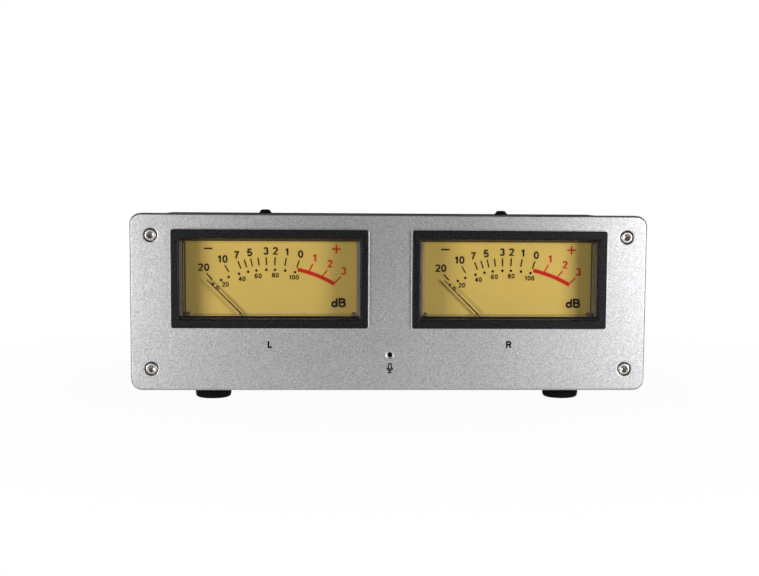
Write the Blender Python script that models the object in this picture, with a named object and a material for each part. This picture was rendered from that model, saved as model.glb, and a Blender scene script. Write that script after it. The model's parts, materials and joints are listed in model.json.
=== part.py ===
"""Stereo level-meter box.

Two moving-coil meters look out of a thick aluminium front panel. Behind it a folded steel tray, an
inverted-U top cover and a rear panel hold the meter movements, the circuit board, the sockets and
the controls. Four rubber feet carry the box.

Units are metres and +Z is up. The front faces -Y. The origin lies on the surface that the feet
stand on, under the middle of the box that bounds the whole object.
"""

import math

import bmesh
import bpy
from mathutils import Matrix, Vector

MM = 0.001
SIDES = {"left": -1, "right": 1}

# Number of sides of a turned piece
FINE_SIDES = 24
ROUND_SIDES = 20
PLAIN_SIDES = 12
HEX_SIDES = 6

# Fits and sheet
GAP = 0.3 * MM
SHEET = 1.5 * MM
BEND_RADIUS = 2.0 * MM
OVERHANG = 1.8 * MM

# Front panel
PANEL_THICKNESS = 6.0 * MM
PANEL_CORNER = 5.0 * MM
PANEL_CHAMFER = 0.9 * MM
SIDE_MARGIN = 18.5 * MM
TOP_MARGIN = 7.2 * MM
METER_GAP = 20.2 * MM
UNDER_METER_SPACE = 3.6 * MM
SCREW_INSET_X = 9.4 * MM
SCREW_INSET_Z = 9.9 * MM
MIC_HEIGHT = 16.4 * MM
MIC_HOLE = 2.3 * MM
MIC_COUNTERSINK = 4.6 * MM
MIC_POCKET = 3.0 * MM
MIC_DIAMETER = 9.7 * MM
MIC_LENGTH = 6.5 * MM

# Meter bezel and lens
BEZEL_WIDTH = 89.4 * MM
BEZEL_HEIGHT = 44.9 * MM
BEZEL_CORNER = 1.0 * MM
BEZEL_CHAMFER = 0.4 * MM
BEZEL_PROUD = 1.5 * MM
BEZEL_SIDE_FLAT = 3.6 * MM
BEZEL_TOP_FLAT = 4.05 * MM
COLLAR_WALL = 1.5 * MM
COLLAR_REACH = 1.2 * MM
LENS_RECESS = 0.8 * MM
LENS_PLATE = 1.5 * MM
LENS_WALL = 1.6 * MM

# Meter dial and pointer
DIAL_DEPTH = 12.3 * MM
DIAL_THICKNESS = 0.8 * MM
DIAL_LAP = 1.2 * MM
DIAL_POST = 3.6 * MM
DIAL_PIN = 1.8 * MM
DIAL_PIN_TIP = 0.6 * MM
DIAL_POST_INSET_X = 3.7 * MM
DIAL_POST_INSET_Z = 2.2 * MM
POINTER_STANDOFF = 2.0 * MM
POINTER_LENGTH = 41.5 * MM
POINTER_TAIL = 8.0 * MM
POINTER_ROOT = 1.0 * MM
POINTER_TIP = 0.6 * MM
POINTER_THICKNESS = 0.6 * MM
POINTER_REST = math.radians(45.0)
RUNNING_CLEARANCE = 0.5 * MM
HUB_DIAMETER = 4.4 * MM
HUB_LENGTH = 2.0 * MM
STAFF_DIAMETER = 1.2 * MM
PIVOT_DROP = 7.8 * MM

# Meter movement
BRIDGE_THICKNESS = 1.4 * MM
BRIDGE_WIDTH = 6.0 * MM
BRIDGE_CLEARANCE = 0.6 * MM
SPRING_SPACE = 1.4 * MM
SPRING_WIRE = 0.4 * MM
SPRING_TURNS = 3
CORE_RADIUS = 6.1 * MM
CORE_LENGTH = 8.2 * MM
CORE_WEB = 2.4 * MM
COIL_RADIAL = 1.4 * MM
COIL_WIDTH = 3.0 * MM
YOKE_WALL = 3.4 * MM
YOKE_LENGTH = 9.6 * MM
YOKE_CLEARANCE = 0.5 * MM
BEARING_DIAMETER = 4.0 * MM
BEARING_ENGAGEMENT = 1.6 * MM
STAFF_END = 2.6 * MM

# Meter case and lamp board
CASE_WALL = 1.5 * MM
CASE_REAR_SPACE = 6.8 * MM
LAMP_WIDTH = 60.0 * MM
LAMP_HEIGHT = 9.0 * MM
LAMP_THICKNESS = 1.2 * MM
LAMP_STANDOFF = 13.0 * MM
LAMP_DROP = 9.0 * MM
LAMP_POST = 4.0 * MM
LED_SIZE = 3.0 * MM
LED_COUNT = 3

# Case depth, board and pillars
BOARD_WIDTH = 110.0 * MM
BOARD_DEPTH = 64.0 * MM
BOARD_THICKNESS = 1.6 * MM
BOARD_HOLE_INSET = 5.0 * MM
BOARD_FRONT_SPACE = 10.0 * MM
BOARD_REAR_SPACE = 17.7 * MM
SUPPORT_DIAMETER = 6.0 * MM
SUPPORT_HEIGHT = 6.0 * MM
SUPPORT_PEG = 2.6 * MM
CAPACITOR_DIAMETER = 10.0 * MM
CAPACITOR_HEIGHT = 16.0 * MM
CHIP_WIDTH = 20.0 * MM
CHIP_DEPTH = 8.0 * MM
CHIP_HEIGHT = 3.5 * MM
HEADER_WIDTH = 12.0 * MM
HEADER_DEPTH = 6.0 * MM
HEADER_HEIGHT = 8.0 * MM
PILLAR_FLATS = 6.0 * MM
PILLAR_CLEARANCE = 6.6 * MM
PILLAR_FROM_REAR = 38.4 * MM
PILLAR_STUB = 4.4 * MM
PILLAR_THREAD = 10.0 * MM

# Feet and fasteners
FOOT_HEIGHT = 7.6 * MM
FOOT_DIAMETER = 17.6 * MM
FOOT_TAPER = 0.5 * MM
FOOT_EDGE = 1.6 * MM
FOOT_INSET_X = 33.7 * MM
FOOT_INSET_Y = 16.0 * MM
FOOT_RECESS = 4.5 * MM
FOOT_RECESS_DIAMETER = 7.4 * MM
THREAD = 3.0 * MM
NUT_WALL = 1.6 * MM
NUT_LENGTH = 4.0 * MM
NUT_CLEARANCE = 1.1 * MM
FLANGE_WIDTH = 11.4 * MM
CAP_HEAD_DIAMETER = 5.4 * MM
CAP_HEAD_HEIGHT = 3.0 * MM
CAP_HEAD_CLEARANCE = 0.5 * MM
CAP_SOCKET = 2.5 * MM
BUTTON_HEAD_DIAMETER = 6.9 * MM
BUTTON_HEAD_HEIGHT = 2.1 * MM
BUTTON_FLANGE = 0.6 * MM
BUTTON_CROWN_DIAMETER = 3.8 * MM
BUTTON_SHOULDER = 0.7
BUTTON_SOCKET = 2.0 * MM
SOCKET_DEPTH = 1.3 * MM
FOOT_HEAD_DIAMETER = 5.6 * MM
FOOT_HEAD_HEIGHT = 2.2 * MM

# Rear panel, sockets and controls
REAR_THICKNESS = 2.0 * MM
REAR_SPACING = 24.0 * MM
REAR_FITTINGS = 6
SOCKET_BODY = 8.0 * MM
SOCKET_FLANGE = 11.5 * MM
SOCKET_FLANGE_THICKNESS = 2.0 * MM
SOCKET_REACH = 9.0 * MM
POWER_BORE = 5.6 * MM
POWER_BORE_DEPTH = 9.0 * MM
POWER_PIN = 2.0 * MM
POWER_PIN_RECESS = 1.0 * MM
LINE_SHELL = 8.4 * MM
LINE_SHELL_LENGTH = 9.0 * MM
LINE_BORE = 3.4 * MM
LINE_BORE_DEPTH = 8.0 * MM
ROCKER_WIDTH = 9.4 * MM
ROCKER_RADIUS = 7.6 * MM
ROCKER_RISE = 2.4 * MM
ROCKER_DIP = 1.2 * MM
ROCKER_BELLY = 4.6 * MM
ROCKER_PIN = 1.8 * MM
ROCKER_PIN_REACH = 0.8 * MM
ROCKER_TILT = math.radians(10.0)
SWITCH_WALL = 1.3 * MM
SWITCH_FLANGE = 1.4 * MM
SWITCH_FLANGE_THICKNESS = 2.0 * MM
LEVER_BALL = 4.0 * MM
LEVER_LENGTH = 12.0 * MM
LEVER_ROOT = 2.0 * MM
LEVER_TIP = 3.0 * MM
LEVER_TILT = math.radians(12.0)
BUSHING_WALL = 0.9 * MM
SELECTOR_REACH = 5.0 * MM
SELECTOR_BODY_WIDTH = 13.0 * MM
SELECTOR_BODY_HEIGHT = 8.0 * MM
SELECTOR_BODY_DEPTH = 10.0 * MM
SHAFT_DIAMETER = 6.0 * MM
SHAFT_REACH = 13.0 * MM
SHAFT_ROOT = 5.0 * MM
POT_DIAMETER = 16.5 * MM
POT_DEPTH = 9.0 * MM
POT_BUSHING_WALL = 1.2 * MM
POT_BUSHING_REACH = 4.0 * MM
KNOB_DIAMETER = 16.0 * MM
KNOB_LENGTH = 13.0 * MM
KNOB_CHAMFER = 0.8 * MM
KNOB_STANDOFF = 5.0 * MM
KNOB_GROOVES = 12
KNOB_GROOVE = 1.4 * MM

# Heights that follow
FLOOR_Z = FOOT_HEIGHT + GAP
FLOOR_TOP = FLOOR_Z + SHEET
YOKE_BORE = CORE_RADIUS + COIL_RADIAL + 2 * YOKE_CLEARANCE
YOKE_RADIUS = YOKE_BORE + YOKE_WALL
CASE_BOTTOM = FLOOR_TOP + UNDER_METER_SPACE
PIVOT_Z = CASE_BOTTOM + CASE_WALL + YOKE_CLEARANCE + YOKE_RADIUS
BEZEL_BOTTOM = PIVOT_Z + PIVOT_DROP
BEZEL_Z = BEZEL_BOTTOM + BEZEL_HEIGHT / 2
PANEL_BOTTOM = FLOOR_Z - OVERHANG
PANEL_TOP = BEZEL_BOTTOM + BEZEL_HEIGHT + TOP_MARGIN
PANEL_Z = (PANEL_BOTTOM + PANEL_TOP) / 2
COVER_TOP = PANEL_TOP - OVERHANG
COVER_UNDERSIDE = COVER_TOP - SHEET

# Widths that follow
METER_X = (BEZEL_WIDTH + METER_GAP) / 2
PANEL_WIDTH = 2 * (BEZEL_WIDTH + SIDE_MARGIN) + METER_GAP
COVER_WIDTH = PANEL_WIDTH - 2 * OVERHANG
TRAY_WIDTH = COVER_WIDTH - 2 * (SHEET + GAP)
WINDOW_WIDTH = BEZEL_WIDTH - 2 * BEZEL_SIDE_FLAT
WINDOW_HEIGHT = BEZEL_HEIGHT - 2 * BEZEL_TOP_FLAT
COLLAR_WIDTH = WINDOW_WIDTH + 2 * COLLAR_WALL
COLLAR_HEIGHT = WINDOW_HEIGHT + 2 * COLLAR_WALL
LENS_WIDTH = WINDOW_WIDTH - 2 * GAP
LENS_HEIGHT = WINDOW_HEIGHT - 2 * GAP
DIAL_WIDTH = LENS_WIDTH + 2 * DIAL_LAP
DIAL_HEIGHT = LENS_HEIGHT + 2 * DIAL_LAP
CASE_WIDTH = COLLAR_WIDTH + 2 * (GAP + CASE_WALL)
CASE_TOP = BEZEL_Z + COLLAR_HEIGHT / 2 + GAP + CASE_WALL
SCREW_X = PANEL_WIDTH / 2 - SCREW_INSET_X
SCREW_Z = (PANEL_BOTTOM + SCREW_INSET_Z, PANEL_TOP - SCREW_INSET_Z)
PILLAR_X = BOARD_WIDTH / 2 + PILLAR_CLEARANCE
FOOT_X = COVER_WIDTH / 2 - FOOT_INSET_X
CLEAR_HOLE = THREAD + 2 * GAP
NUT_RADIUS = CLEAR_HOLE / 2 + NUT_WALL

# Depths that follow, measured back from the panel's front face
DIAL_FACE = DIAL_DEPTH - BEZEL_PROUD
POINTER_PLANE = DIAL_FACE - POINTER_STANDOFF
LENS_END = POINTER_PLANE - POINTER_THICKNESS / 2 - RUNNING_CLEARANCE
HUB_FRONT = POINTER_PLANE - HUB_LENGTH / 2
BRIDGE_FRONT = POINTER_PLANE + HUB_LENGTH / 2 + BRIDGE_CLEARANCE
BRIDGE_REAR = BRIDGE_FRONT + BRIDGE_THICKNESS
COIL_FRONT = BRIDGE_REAR + SPRING_SPACE
COIL_REAR = COIL_FRONT + CORE_LENGTH + 2 * (COIL_RADIAL + RUNNING_CLEARANCE)
COIL_MIDDLE = (COIL_FRONT + COIL_REAR) / 2
YOKE_FRONT = COIL_MIDDLE - YOKE_LENGTH / 2
YOKE_REAR = COIL_MIDDLE + YOKE_LENGTH / 2
STAFF_REAR = COIL_REAR + STAFF_END
CASE_FRONT = PANEL_THICKNESS + GAP
CASE_INNER_REAR = STAFF_REAR + CASE_REAR_SPACE
CASE_REAR = CASE_INNER_REAR + CASE_WALL
BOARD_FRONT = CASE_REAR + BOARD_FRONT_SPACE
CASE_DEPTH = BOARD_FRONT + BOARD_DEPTH + BOARD_REAR_SPACE + REAR_THICKNESS
KNOB_END = CASE_DEPTH + KNOB_STANDOFF + KNOB_LENGTH
FRONT_Y = (BEZEL_PROUD - KNOB_END) / 2


def depth(distance):
    """World Y of a distance behind the panel's front face."""
    return FRONT_Y + distance


def link(name, bm):
    """Close a bmesh into a named object with its faces pointing out."""
    bmesh.ops.recalc_face_normals(bm, faces=bm.faces)
    mesh = bpy.data.meshes.new(name)
    bm.to_mesh(mesh)
    bm.free()
    item = bpy.data.objects.new(name, mesh)
    bpy.context.collection.objects.link(item)
    return item


def loft(name, rings):
    """Solid through rings of points with equal counts, capped at both ends."""
    bm = bmesh.new()
    loops = [[bm.verts.new(point) for point in ring] for ring in rings]
    count = len(rings[0])
    for lower, upper in zip(loops, loops[1:]):
        for i in range(count):
            j = (i + 1) % count
            bm.faces.new((lower[i], lower[j], upper[j], upper[i]))
    bm.faces.new(loops[0])
    bm.faces.new(loops[-1])
    return link(name, bm)


def place(axis, u, v, along):
    """Point with the outline's two coordinates across an axis and one along it."""
    if axis == "X":
        return (along, u, v)
    if axis == "Y":
        return (u, along, v)
    return (u, v, along)


def prism(name, axis, outline, start, end):
    """Outline extruded along an axis."""
    return loft(name, [[place(axis, u, v, along) for u, v in outline] for along in (start, end)])


def turned(name, axis, centre, profile, sides=ROUND_SIDES):
    """Profile of (radius, place along the axis) turned about an axis through a centre.

    The corners start half a step round, so that those of a bore stay off the edges of the face it cuts.
    """
    bm = bmesh.new()
    rings = []
    for radius, along in profile:
        if radius == 0:
            rings.append([bm.verts.new(place(axis, *centre, along))])
            continue
        ring = []
        for i in range(sides):
            angle = math.tau * (i + 0.5) / sides
            u = centre[0] + radius * math.cos(angle)
            v = centre[1] + radius * math.sin(angle)
            ring.append(bm.verts.new(place(axis, u, v, along)))
        rings.append(ring)
    pairs = list(zip(rings, rings[1:]))
    if len(rings[0]) > 1:
        pairs.append((rings[-1], rings[0]))
    for lower, upper in pairs:
        for i in range(sides):
            j = (i + 1) % sides
            corners = [lower[i % len(lower)], lower[j % len(lower)]]
            corners += [upper[j % len(upper)], upper[i % len(upper)]]
            bm.faces.new(list(dict.fromkeys(corners)))
    return link(name, bm)


def disc(radius, start, end):
    """Turned profile of a plain cylinder."""
    return [(0, start), (radius, start), (radius, end), (0, end)]


def box(name, low, high):
    """Block between two corners."""
    outline = [(low[0], low[1]), (high[0], low[1]), (high[0], high[1]), (low[0], high[1])]
    return prism(name, "Z", outline, low[2], high[2])


def arc(centre, radius, first, last, steps):
    """Points along an arc, in degrees."""
    points = []
    for i in range(steps + 1):
        angle = math.radians(first + (last - first) * i / steps)
        points.append((centre[0] + radius * math.cos(angle), centre[1] + radius * math.sin(angle)))
    return points


def rounded(centre, width, height, radius, steps=6):
    """Rectangle with round corners about a centre."""
    reach_u = width / 2 - radius
    reach_v = height / 2 - radius
    points = []
    for i, (u, v) in enumerate(((1, 1), (-1, 1), (-1, -1), (1, -1))):
        corner = (centre[0] + u * reach_u, centre[1] + v * reach_v)
        points += arc(corner, radius, 90 * i, 90 * (i + 1), steps)
    return points


def hexagon(centre, flats):
    """Hexagon by its width across flats."""
    return arc(centre, flats / math.sqrt(3), 0, 300, 5)


def combine(item, tool, operation):
    """Apply one Boolean and drop the tool."""
    modifier = item.modifiers.new(operation.lower(), "BOOLEAN")
    modifier.object = tool
    modifier.operation = operation
    modifier.solver = "EXACT"
    graph = bpy.context.evaluated_depsgraph_get()
    mesh = bpy.data.meshes.new_from_object(item.evaluated_get(graph))
    item.modifiers.clear()
    item.data = mesh
    mesh.name = item.name
    bpy.data.objects.remove(tool)


def join(item, *tools):
    """Fuse tools into an item."""
    for tool in tools:
        combine(item, tool, "UNION")


def cut(item, *tools):
    """Take tools out of an item."""
    for tool in tools:
        combine(item, tool, "DIFFERENCE")


def pivot_at(item, point):
    """Put an item's origin on its joint axis."""
    item.data.transform(Matrix.Translation(-Vector(point)))
    item.location = point


def tilt(item, point, axis, angle):
    """Turn an item's mesh about a point."""
    shift = Matrix.Translation(Vector(point))
    item.data.transform(shift @ Matrix.Rotation(angle, 4, axis) @ shift.inverted())


def finish(item, colour, roughness, metallic=0.0):
    """Give an item its own material and smooth its round faces."""
    material = bpy.data.materials.new(item.name)
    material.use_nodes = True
    shader = material.node_tree.nodes["Principled BSDF"]
    shader.inputs["Base Color"].default_value = (*colour, 1.0)
    shader.inputs["Roughness"].default_value = roughness
    shader.inputs["Metallic"].default_value = metallic
    item.data.materials.clear()
    item.data.materials.append(material)
    if item.type == "MESH":
        item.data.shade_smooth()
        item.data.set_sharp_from_angle(angle=math.radians(35.0))


BLACK_PAINT = (0.012, 0.012, 0.013)
SILVER = (0.62, 0.62, 0.63)
CHARCOAL = (0.025, 0.025, 0.028)
RUBBER = (0.008, 0.008, 0.008)
STEEL = (0.45, 0.45, 0.46)
BLACK_STEEL = (0.02, 0.02, 0.02)
CLEAR = (0.9, 0.9, 0.9)
DIAL_GOLD = (0.54, 0.38, 0.09)
INK = (0.01, 0.009, 0.008)
BRASS = (0.55, 0.38, 0.12)
MAGNET_GREY = (0.12, 0.12, 0.13)
BOARD_GREEN = (0.02, 0.12, 0.05)
NYLON = (0.75, 0.74, 0.7)


def panel_screw_places():
    """Name and place of each of the four corner screws."""
    for side, sign in SIDES.items():
        for level, z in zip(("lower", "upper"), SCREW_Z):
            yield f"{side}_{level}", sign * SCREW_X, z


def foot_places():
    """Name and place of each foot."""
    for side, sign in SIDES.items():
        yield f"front_{side}", sign * FOOT_X, depth(PANEL_THICKNESS + FOOT_INSET_Y)
        yield f"rear_{side}", sign * FOOT_X, depth(CASE_DEPTH - PANEL_THICKNESS - FOOT_INSET_Y)


def build_front_panel():
    """Thick plate with a chamfered rim, two meter windows, screw counterbores and the mic hole."""
    shapes = ((PANEL_CHAMFER, 0), (0, PANEL_CHAMFER), (0, PANEL_THICKNESS))
    height = PANEL_TOP - PANEL_BOTTOM
    rings = []
    for inset, back in shapes:
        corner = PANEL_CORNER - inset
        outline = rounded((0, PANEL_Z), PANEL_WIDTH - 2 * inset, height - 2 * inset, corner)
        rings.append([(x, depth(back), z) for x, z in outline])
    panel = loft("front_panel", rings)
    for sign in SIDES.values():
        opening = rounded(
            (sign * METER_X, BEZEL_Z), COLLAR_WIDTH + 2 * GAP, COLLAR_HEIGHT + 2 * GAP, BEZEL_CORNER)
        cut(panel, prism("window", "Y", opening, depth(-PANEL_THICKNESS), depth(2 * PANEL_THICKNESS)))
    head = CAP_HEAD_DIAMETER / 2 + CAP_HEAD_CLEARANCE
    seat = CAP_HEAD_HEIGHT + GAP
    for _, x, z in panel_screw_places():
        profile = [
            (0, depth(-PANEL_THICKNESS)), (head, depth(-PANEL_THICKNESS)), (head, depth(seat)),
            (CLEAR_HOLE / 2, depth(seat)), (CLEAR_HOLE / 2, depth(2 * PANEL_THICKNESS)),
            (0, depth(2 * PANEL_THICKNESS))]
        cut(panel, turned("counterbore", "Y", (x, z), profile))
    mic_z = PANEL_BOTTOM + MIC_HEIGHT
    slope = (MIC_COUNTERSINK - MIC_HOLE) / 2
    pocket = MIC_DIAMETER / 2 + GAP
    profile = [
        (0, depth(-slope)), (MIC_COUNTERSINK / 2 + slope, depth(-slope)), (MIC_HOLE / 2, depth(slope)),
        (MIC_HOLE / 2, depth(PANEL_THICKNESS - MIC_POCKET)), (pocket, depth(PANEL_THICKNESS - MIC_POCKET)),
        (pocket, depth(2 * PANEL_THICKNESS)), (0, depth(2 * PANEL_THICKNESS))]
    cut(panel, turned("mic_cut", "Y", (0, mic_z), profile))
    finish(panel, SILVER, 0.35, 1.0)
    front = depth(PANEL_THICKNESS - MIC_POCKET + GAP)
    capsule = turned("mic_capsule", "Y", (0, mic_z), disc(MIC_DIAMETER / 2, front, front + MIC_LENGTH))
    finish(capsule, STEEL, 0.4, 1.0)


def build_tray():
    """Folded tray: floor, side walls, and inward flanges with press nuts for both end panels."""
    front = depth(PANEL_THICKNESS + GAP)
    rear = depth(CASE_DEPTH - REAR_THICKNESS - GAP)
    half = TRAY_WIDTH / 2
    fold = SHEET / 2
    tray = box("chassis_tray", (fold - half, front + fold, FLOOR_Z), (half - fold, rear - fold, FLOOR_TOP))
    for sign in SIDES.values():
        outer = sign * half
        inner = sign * (half - SHEET)
        lip = sign * (half - FLANGE_WIDTH)
        outline = [
            (outer, front), (lip, front), (lip, front + SHEET), (inner, front + SHEET),
            (inner, rear - SHEET), (lip, rear - SHEET), (lip, rear), (outer, rear)]
        join(tray, prism("wall", "Z", outline, FLOOR_Z + fold, COVER_UNDERSIDE - GAP))
    for _, x, z in panel_screw_places():
        for seat, inward in ((front + fold, 1), (rear - fold, -1)):
            nut = disc(NUT_RADIUS, seat, seat + inward * (fold + NUT_LENGTH))
            join(tray, turned("nut", "Y", (x, z), nut, HEX_SIDES))
        cut(tray, turned("bore", "Y", (x, z), disc(CLEAR_HOLE / 2, front - SHEET, rear + SHEET), PLAIN_SIDES))
    boss_top = CASE_BOTTOM - NUT_CLEARANCE
    for _, x, y in foot_places():
        join(tray, turned("nut", "Z", (x, y), disc(NUT_RADIUS, FLOOR_Z + fold, boss_top), HEX_SIDES))
        cut(tray, turned("bore", "Z", (x, y), disc(CLEAR_HOLE / 2, 0, boss_top + SHEET), PLAIN_SIDES))
    stub = PILLAR_STUB / 2 + GAP
    for sign in SIDES.values():
        centre = (sign * PILLAR_X, depth(CASE_DEPTH - PILLAR_FROM_REAR))
        cut(tray, turned("bore", "Z", centre, disc(stub, 0, FLOOR_TOP + SHEET), PLAIN_SIDES))
    for _, x, y in board_hole_places():
        cut(tray, turned("bore", "Z", (x, y), disc(SUPPORT_PEG / 2 + GAP, 0, FLOOR_TOP + SHEET), PLAIN_SIDES))
    finish(tray, BLACK_PAINT, 0.5)


def build_cover():
    """Inverted-U cover over the tray, with two screw holes in its top."""
    half = COVER_WIDTH / 2
    inner = half - SHEET
    tight = BEND_RADIUS - SHEET
    outline = [(half, FLOOR_Z)]
    outline += arc((half - BEND_RADIUS, COVER_TOP - BEND_RADIUS), BEND_RADIUS, 0, 90, 6)
    outline += arc((BEND_RADIUS - half, COVER_TOP - BEND_RADIUS), BEND_RADIUS, 90, 180, 6)
    outline += [(-half, FLOOR_Z), (-inner, FLOOR_Z)]
    outline += arc((tight - inner, COVER_UNDERSIDE - tight), tight, 180, 90, 6)
    outline += arc((inner - tight, COVER_UNDERSIDE - tight), tight, 90, 0, 6)
    outline += [(inner, FLOOR_Z)]
    cover = prism("top_cover", "Y", outline, depth(PANEL_THICKNESS + GAP), depth(CASE_DEPTH))
    for sign in SIDES.values():
        centre = (sign * PILLAR_X, depth(CASE_DEPTH - PILLAR_FROM_REAR))
        hole = disc(CLEAR_HOLE / 2, COVER_UNDERSIDE - SHEET, COVER_TOP + SHEET)
        cut(cover, turned("bore", "Z", centre, hole, PLAIN_SIDES))
    finish(cover, BLACK_PAINT, 0.5)


def button_head(name, axis, centre, face, outward, length):
    """Flanged button-head screw whose head stands off a face along an axis."""
    rim = BUTTON_HEAD_DIAMETER / 2
    crown = BUTTON_CROWN_DIAMETER / 2
    shoulder = (rim + crown) / 2
    heights = {
        "tip": -GAP - length, "seat": GAP, "flange": GAP + BUTTON_FLANGE,
        "shoulder": GAP + BUTTON_FLANGE + BUTTON_SHOULDER * (BUTTON_HEAD_HEIGHT - BUTTON_FLANGE),
        "crown": GAP + BUTTON_HEAD_HEIGHT}
    along = {key: face + outward * value for key, value in heights.items()}
    profile = [
        (0, along["tip"]), (THREAD / 2, along["tip"]), (THREAD / 2, along["seat"]), (rim, along["seat"]),
        (rim, along["flange"]), (shoulder, along["shoulder"]), (crown, along["crown"]), (0, along["crown"])]
    screw = turned(name, axis, centre, profile)
    start = along["crown"] - outward * SOCKET_DEPTH
    end = along["crown"] + outward * SOCKET_DEPTH
    cut(screw, prism("key", axis, hexagon(centre, BUTTON_SOCKET), start, end))
    return screw


def build_pillars():
    """Hex pillars on the floor, and the screws that hold the cover down on them."""
    for side, sign in SIDES.items():
        centre = (sign * PILLAR_X, depth(CASE_DEPTH - PILLAR_FROM_REAR))
        top = COVER_UNDERSIDE - GAP
        outline = hexagon(centre, PILLAR_FLATS)
        pillar = prism(f"cover_pillar_{side}", "Z", outline, FLOOR_TOP + GAP, top)
        stub = disc(PILLAR_STUB / 2, FLOOR_Z + GAP, FLOOR_TOP + SHEET)
        join(pillar, turned("stub", "Z", centre, stub, PLAIN_SIDES))
        thread = disc(CLEAR_HOLE / 2, top - PILLAR_THREAD, top + SHEET)
        cut(pillar, turned("thread", "Z", centre, thread, PLAIN_SIDES))
        finish(pillar, BRASS, 0.35, 1.0)
        reach = SHEET + GAP + PILLAR_THREAD / 2
        screw = button_head(f"cover_screw_{side}", "Z", centre, COVER_TOP, 1, reach)
        finish(screw, BLACK_STEEL, 0.4, 1.0)


def build_end_screws():
    """Socket cap screws in the front panel and button heads in the rear panel."""
    reach = PANEL_THICKNESS + GAP + SHEET + NUT_LENGTH
    rear_reach = REAR_THICKNESS + GAP + SHEET + NUT_LENGTH - GAP
    for name, x, z in panel_screw_places():
        head = CAP_HEAD_DIAMETER / 2
        profile = [
            (0, depth(0)), (head, depth(0)), (head, depth(CAP_HEAD_HEIGHT)),
            (THREAD / 2, depth(CAP_HEAD_HEIGHT)), (THREAD / 2, depth(reach)), (0, depth(reach))]
        screw = turned(f"panel_screw_{name}", "Y", (x, z), profile)
        key = hexagon((x, z), CAP_SOCKET)
        cut(screw, prism("key", "Y", key, depth(-SOCKET_DEPTH), depth(SOCKET_DEPTH)))
        finish(screw, STEEL, 0.3, 1.0)
        screw = button_head(f"rear_screw_{name}", "Y", (x, z), depth(CASE_DEPTH), 1, rear_reach)
        finish(screw, BLACK_STEEL, 0.4, 1.0)


def build_feet():
    """Tapered rubber feet, each with a recessed pan-head screw."""
    wide = FOOT_DIAMETER / 2
    narrow = wide - FOOT_TAPER
    recess = FOOT_RECESS_DIAMETER / 2
    seat = FOOT_RECESS - GAP
    for name, x, y in foot_places():
        rim = arc((narrow - FOOT_EDGE, FOOT_EDGE), FOOT_EDGE, -90, 0, 3)
        profile = [(recess, 0), *rim, (wide, FOOT_HEIGHT), (CLEAR_HOLE / 2, FOOT_HEIGHT)]
        profile += [(CLEAR_HOLE / 2, FOOT_RECESS), (recess, FOOT_RECESS)]
        foot = turned(f"foot_{name}", "Z", (x, y), profile, FINE_SIDES)
        finish(foot, RUBBER, 0.7)
        head = FOOT_HEAD_DIAMETER / 2
        tip = CASE_BOTTOM - NUT_CLEARANCE
        profile = [
            (0, seat - FOOT_HEAD_HEIGHT), (head, seat - FOOT_HEAD_HEIGHT), (head, seat), (THREAD / 2, seat),
            (THREAD / 2, tip), (0, tip)]
        screw = turned(f"foot_screw_{name}", "Z", (x, y), profile, PLAIN_SIDES)
        finish(screw, STEEL, 0.4, 1.0)


def build_meter_face(side, centre):
    """Bezel with its collar through the panel, the clear lens box in it, and the dial plate."""
    rings = []
    for inset, back in ((BEZEL_CHAMFER, -BEZEL_PROUD), (0, BEZEL_CHAMFER - BEZEL_PROUD), (0, -GAP)):
        outline = rounded(centre, BEZEL_WIDTH - 2 * inset, BEZEL_HEIGHT - 2 * inset, BEZEL_CORNER - inset, 4)
        rings.append([(x, depth(back), z) for x, z in outline])
    bezel = loft(f"meter_bezel_{side}", rings)
    collar = rounded(centre, COLLAR_WIDTH, COLLAR_HEIGHT, BEZEL_CORNER, 4)
    collar_end = CASE_FRONT + COLLAR_REACH
    join(bezel, prism("collar", "Y", collar, depth(-BEZEL_PROUD / 2), depth(collar_end)))
    window = rounded(centre, WINDOW_WIDTH, WINDOW_HEIGHT, BEZEL_CHAMFER, 2)
    cut(bezel, prism("window", "Y", window, depth(-2 * BEZEL_PROUD), depth(collar_end + BEZEL_PROUD)))
    finish(bezel, CHARCOAL, 0.6)

    front = LENS_RECESS - BEZEL_PROUD
    lens = prism(
        f"meter_lens_{side}", "Y", rounded(centre, LENS_WIDTH, LENS_HEIGHT, BEZEL_CHAMFER, 2),
        depth(front), depth(LENS_END))
    hollow = rounded(centre, LENS_WIDTH - 2 * LENS_WALL, LENS_HEIGHT - 2 * LENS_WALL, BEZEL_CHAMFER, 2)
    cut(lens, prism("hollow", "Y", hollow, depth(front + LENS_PLATE), depth(LENS_END + LENS_PLATE)))
    finish(lens, CLEAR, 0.05)

    outline = rounded(centre, DIAL_WIDTH, DIAL_HEIGHT, BEZEL_CHAMFER, 2)
    dial = prism(f"meter_dial_{side}", "Y", outline, depth(DIAL_FACE), depth(DIAL_FACE + DIAL_THICKNESS))
    for spot in dial_post_places(centre):
        hole = disc(DIAL_PIN / 2 + GAP, depth(0), depth(DIAL_FACE + 2 * DIAL_THICKNESS))
        cut(dial, turned("hole", "Y", spot, hole, PLAIN_SIDES))
    finish(dial, DIAL_GOLD, 0.45)


def dial_post_places(centre):
    """Centres of the four posts that carry a dial."""
    for u in SIDES.values():
        for v in (-1, 1):
            x = centre[0] + u * (DIAL_WIDTH / 2 - DIAL_POST_INSET_X)
            yield x, centre[1] + v * (DIAL_HEIGHT / 2 - DIAL_POST_INSET_Z)


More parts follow.
